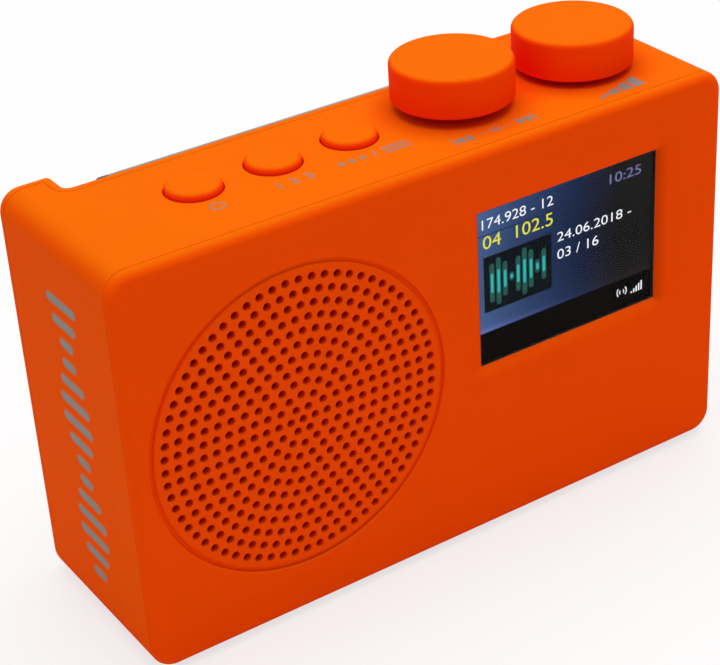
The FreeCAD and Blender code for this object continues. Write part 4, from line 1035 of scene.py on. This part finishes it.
def drive_screws(finish):
    """Screws turned about Y: circles from the tip to the head's edge, then a sunken cross.

    The cross's edge lies at min(reach / wide, half / narrow) from its middle, wide and narrow
    being the larger and the smaller part of the direction.
    """
    low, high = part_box("case_screws")
    head, shank, tall, reach, half = in_metres((2.7, 1.4, 2.0, 1.6, 0.35))
    quarter, corner = math.pi / 2, math.atan2(half, reach)
    inside = np.append(np.linspace(0, quarter, 9), (corner, quarter - corner))
    turns = np.arange(4)[:, None] * quarter
    rays = around(np.unique((inside + turns).round(6))[:-1])
    wide, narrow = np.abs(rays).max(1), np.abs(rays).min(1)
    cross = np.minimum(reach / wide, half / np.maximum(narrow, 1e-9))[:, None] * rays
    seat = high.y - tall
    profile = [
        (shank - 0.4 * MM, low.y), (shank, low.y + 0.6 * MM), (shank, seat), (head, seat),
        (head, high.y - 0.5 * MM), (head - 0.15 * MM, high.y - 0.15 * MM),
        (head - 0.5 * MM, high.y),
    ]
    rings = [(rays * radius, depth) for radius, depth in profile]
    rings += [(cross, high.y), (cross * 0.8, high.y - 1.1 * MM)]
    count = len(rays)
    points, faces = [], []
    for x in (low.x + head, high.x - head):
        for z in (low.z + head, high.z - head):
            first = len(points) * count
            points += [upright(flat + (x, z), depth) for flat, depth in rings]
            faces += grid_faces(len(rings), count, first)[:, ::-1].tolist()
            last = first + (len(rings) - 1) * count
            faces += [range(first + count - 1, first - 1, -1), range(last, last + count)]
    item = piece("case_screws_crossed", points, faces, "cabinet", finish)
    keep_creases(item.data, 35.0)
    weigh_normals(item)
    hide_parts("case_screws")


def cell_finish():
    """Cell wrapper: a dark band and a pale one along the cell, bare metal at both ends."""
    finish, tree, shader = surfaced("cell_wrapper", Roughness=0.3)
    low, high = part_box("battery_cells")
    bare, dark, pale = (0.6, 0.6, 0.6), (0.05, 0.05, 0.06), (0.45, 0.46, 0.48)
    wrapper = ramp_of(tree, mapped(tree, axis_of(tree, "Z"), (low.z, high.z)), (
        (0.0, bare), (0.04, bare), (0.05, dark), (0.62, (0.06, 0.06, 0.07)), (0.63, pale),
        (0.95, pale), (0.96, bare),
    ))
    tree.links.new(wrapper, shader.inputs["Base Color"])
    return finish


class RADIO_OT_stage(RadioPart, bpy.types.Operator):
    """Set the floor, the lamp, the sky and the camera"""

    bl_idname = "radio.stage"
    bl_label = "Stage"

    def execute(self, context):
        settings = context.scene.radio_stage
        context.scene.view_settings.view_transform = "Standard"
        self.lay_floor(settings)
        self.hang_lamp(context, settings)
        self.light_sky(context, settings)
        self.place_camera(context)
        return {"FINISHED"}

    def lay_floor(self, settings):
        across = np.linspace(-FLOOR_REACH, FLOOR_REACH, FLOOR_POINTS)
        flat, faces = flat_grid(across, across)
        points = Sheet((0, 0, 0), RIGHT, BACKWARD).place(flat)
        floor = piece("floor", points, faces, None, floor_finish(settings))

    def hang_lamp(self, context, settings):
        """A square soft box turned towards the radio's middle."""
        lamp = bpy.data.lights.new("overhead", "AREA")
        lamp.shape = "RECTANGLE"
        lamp.size = lamp.size_y = LAMP_SIDE
        lamp.energy = settings.lamp
        holder = bpy.data.objects.new("overhead", lamp)
        holder.location = LAMP_PLACE
        beam = Vector(LAMP_TARGET) - holder.location
        holder.rotation_euler = beam.to_track_quat("-Z", "Y").to_euler()
        context.scene.collection.objects.link(holder)

    def light_sky(self, context, settings):
        """Dim light from all round, which is plain white where it is seen or mirrored."""
        world = bpy.data.worlds.new("sky")
        context.scene.world = world
        world.use_nodes = True
        tree = world.node_tree
        tree.nodes.clear()
        output = tree.nodes.new("ShaderNodeOutputWorld")
        white = (1, 1, 1, 1)
        light = node_of(tree, "ShaderNodeBackground", Strength=settings.sky, Color=white)
        seen = node_of(tree, "ShaderNodeBackground", Strength=1.0, Color=white)
        path = tree.nodes.new("ShaderNodeLightPath").outputs
        either = combined(tree, "MAXIMUM", path["Is Camera Ray"], path["Is Glossy Ray"])
        either = combined(tree, "MAXIMUM", either, path["Is Transmission Ray"])
        blend(tree, either, light.outputs[0], seen.outputs[0], output)

    def place_camera(self, context):
        """The camera's axes are its right, its up and the way opposite to its view."""
        data = bpy.data.cameras.new("camera")
        data.sensor_width = CAMERA_SENSOR
        data.lens = CAMERA_LENS
        data.shift_x, data.shift_y = CAMERA_SHIFT
        data.clip_start, data.clip_end = 0.01, 20.0
        holder = bpy.data.objects.new("camera", data)
        view = Vector(CAMERA_VIEW).normalized()
        up = Vector(CAMERA_RIGHT).normalized().cross(view).normalized()
        turn = Matrix((view.cross(up), up, -view)).transposed()
        holder.matrix_world = Matrix.Translation(CAMERA_PLACE) @ turn.to_4x4()
        context.scene.collection.objects.link(holder)
        context.scene.camera = holder


def blend(tree, share, first, second, output):
    """Show two shaders mixed by a share of the second."""
    mix = tree.nodes.new("ShaderNodeMixShader")
    for value, place in zip((share, first, second), mix.inputs):
        tree.links.new(value, place)
    tree.links.new(mix.outputs[0], output.inputs["Surface"])


def floor_finish(settings):
    """Pale paper that the camera sees mostly as white, with the shadow kept on it."""
    finish = finish_of("floor_paper", [settings.floor] * 3, 0.9, 2 * MM, 0.02 * MM,
                       mottle=0.004, patch=300 * MM)
    tree = finish.node_tree
    output = next(node for node in tree.nodes if node.type == "OUTPUT_MATERIAL")
    paper = output.inputs["Surface"].links[0].from_socket
    white = node_of(tree, "ShaderNodeEmission", Strength=1.0)
    path = tree.nodes.new("ShaderNodeLightPath").outputs
    share = combined(tree, "MULTIPLY", path["Is Camera Ray"], settings.whiteness)
    blend(tree, share, paper, white.outputs[0], output)
    return finish


OPERATORS = (
    RADIO_OT_case, RADIO_OT_grille, RADIO_OT_controls, RADIO_OT_prints, RADIO_OT_display,
    RADIO_OT_antenna, RADIO_OT_insides, RADIO_OT_stage,
)


class RADIO_PT_sidebar(bpy.types.Panel):
    """The radio's settings and the steps that build it"""

    bl_label = "Portable Radio"
    bl_idname = "RADIO_PT_sidebar"
    bl_space_type = "VIEW_3D"
    bl_region_type = "UI"
    bl_category = "Radio"

    def draw(self, context):
        for name, group in SETTINGS:
            box = self.layout.box()
            values = getattr(context.scene, name)
            for entry in group.__annotations__:
                box.prop(values, entry)
        for operator in OPERATORS:
            self.layout.operator(operator.bl_idname)


def register():
    for name, group in SETTINGS:
        bpy.utils.register_class(group)
        setattr(bpy.types.Scene, name, PointerProperty(type=group))
    for item in (*OPERATORS, RADIO_PT_sidebar):
        bpy.utils.register_class(item)


def unregister():
    for item in (RADIO_PT_sidebar, *reversed(OPERATORS)):
        bpy.utils.unregister_class(item)
    for name, group in reversed(SETTINGS):
        delattr(bpy.types.Scene, name)
        bpy.utils.unregister_class(group)


def main():
    register()
    bpy.ops.radio.case()
    bpy.ops.radio.grille()
    bpy.ops.radio.controls()
    bpy.ops.radio.prints()
    bpy.ops.radio.display()
    bpy.ops.radio.antenna()
    bpy.ops.radio.insides()
    bpy.ops.radio.stage()


if __name__ == "__main__":
    main()
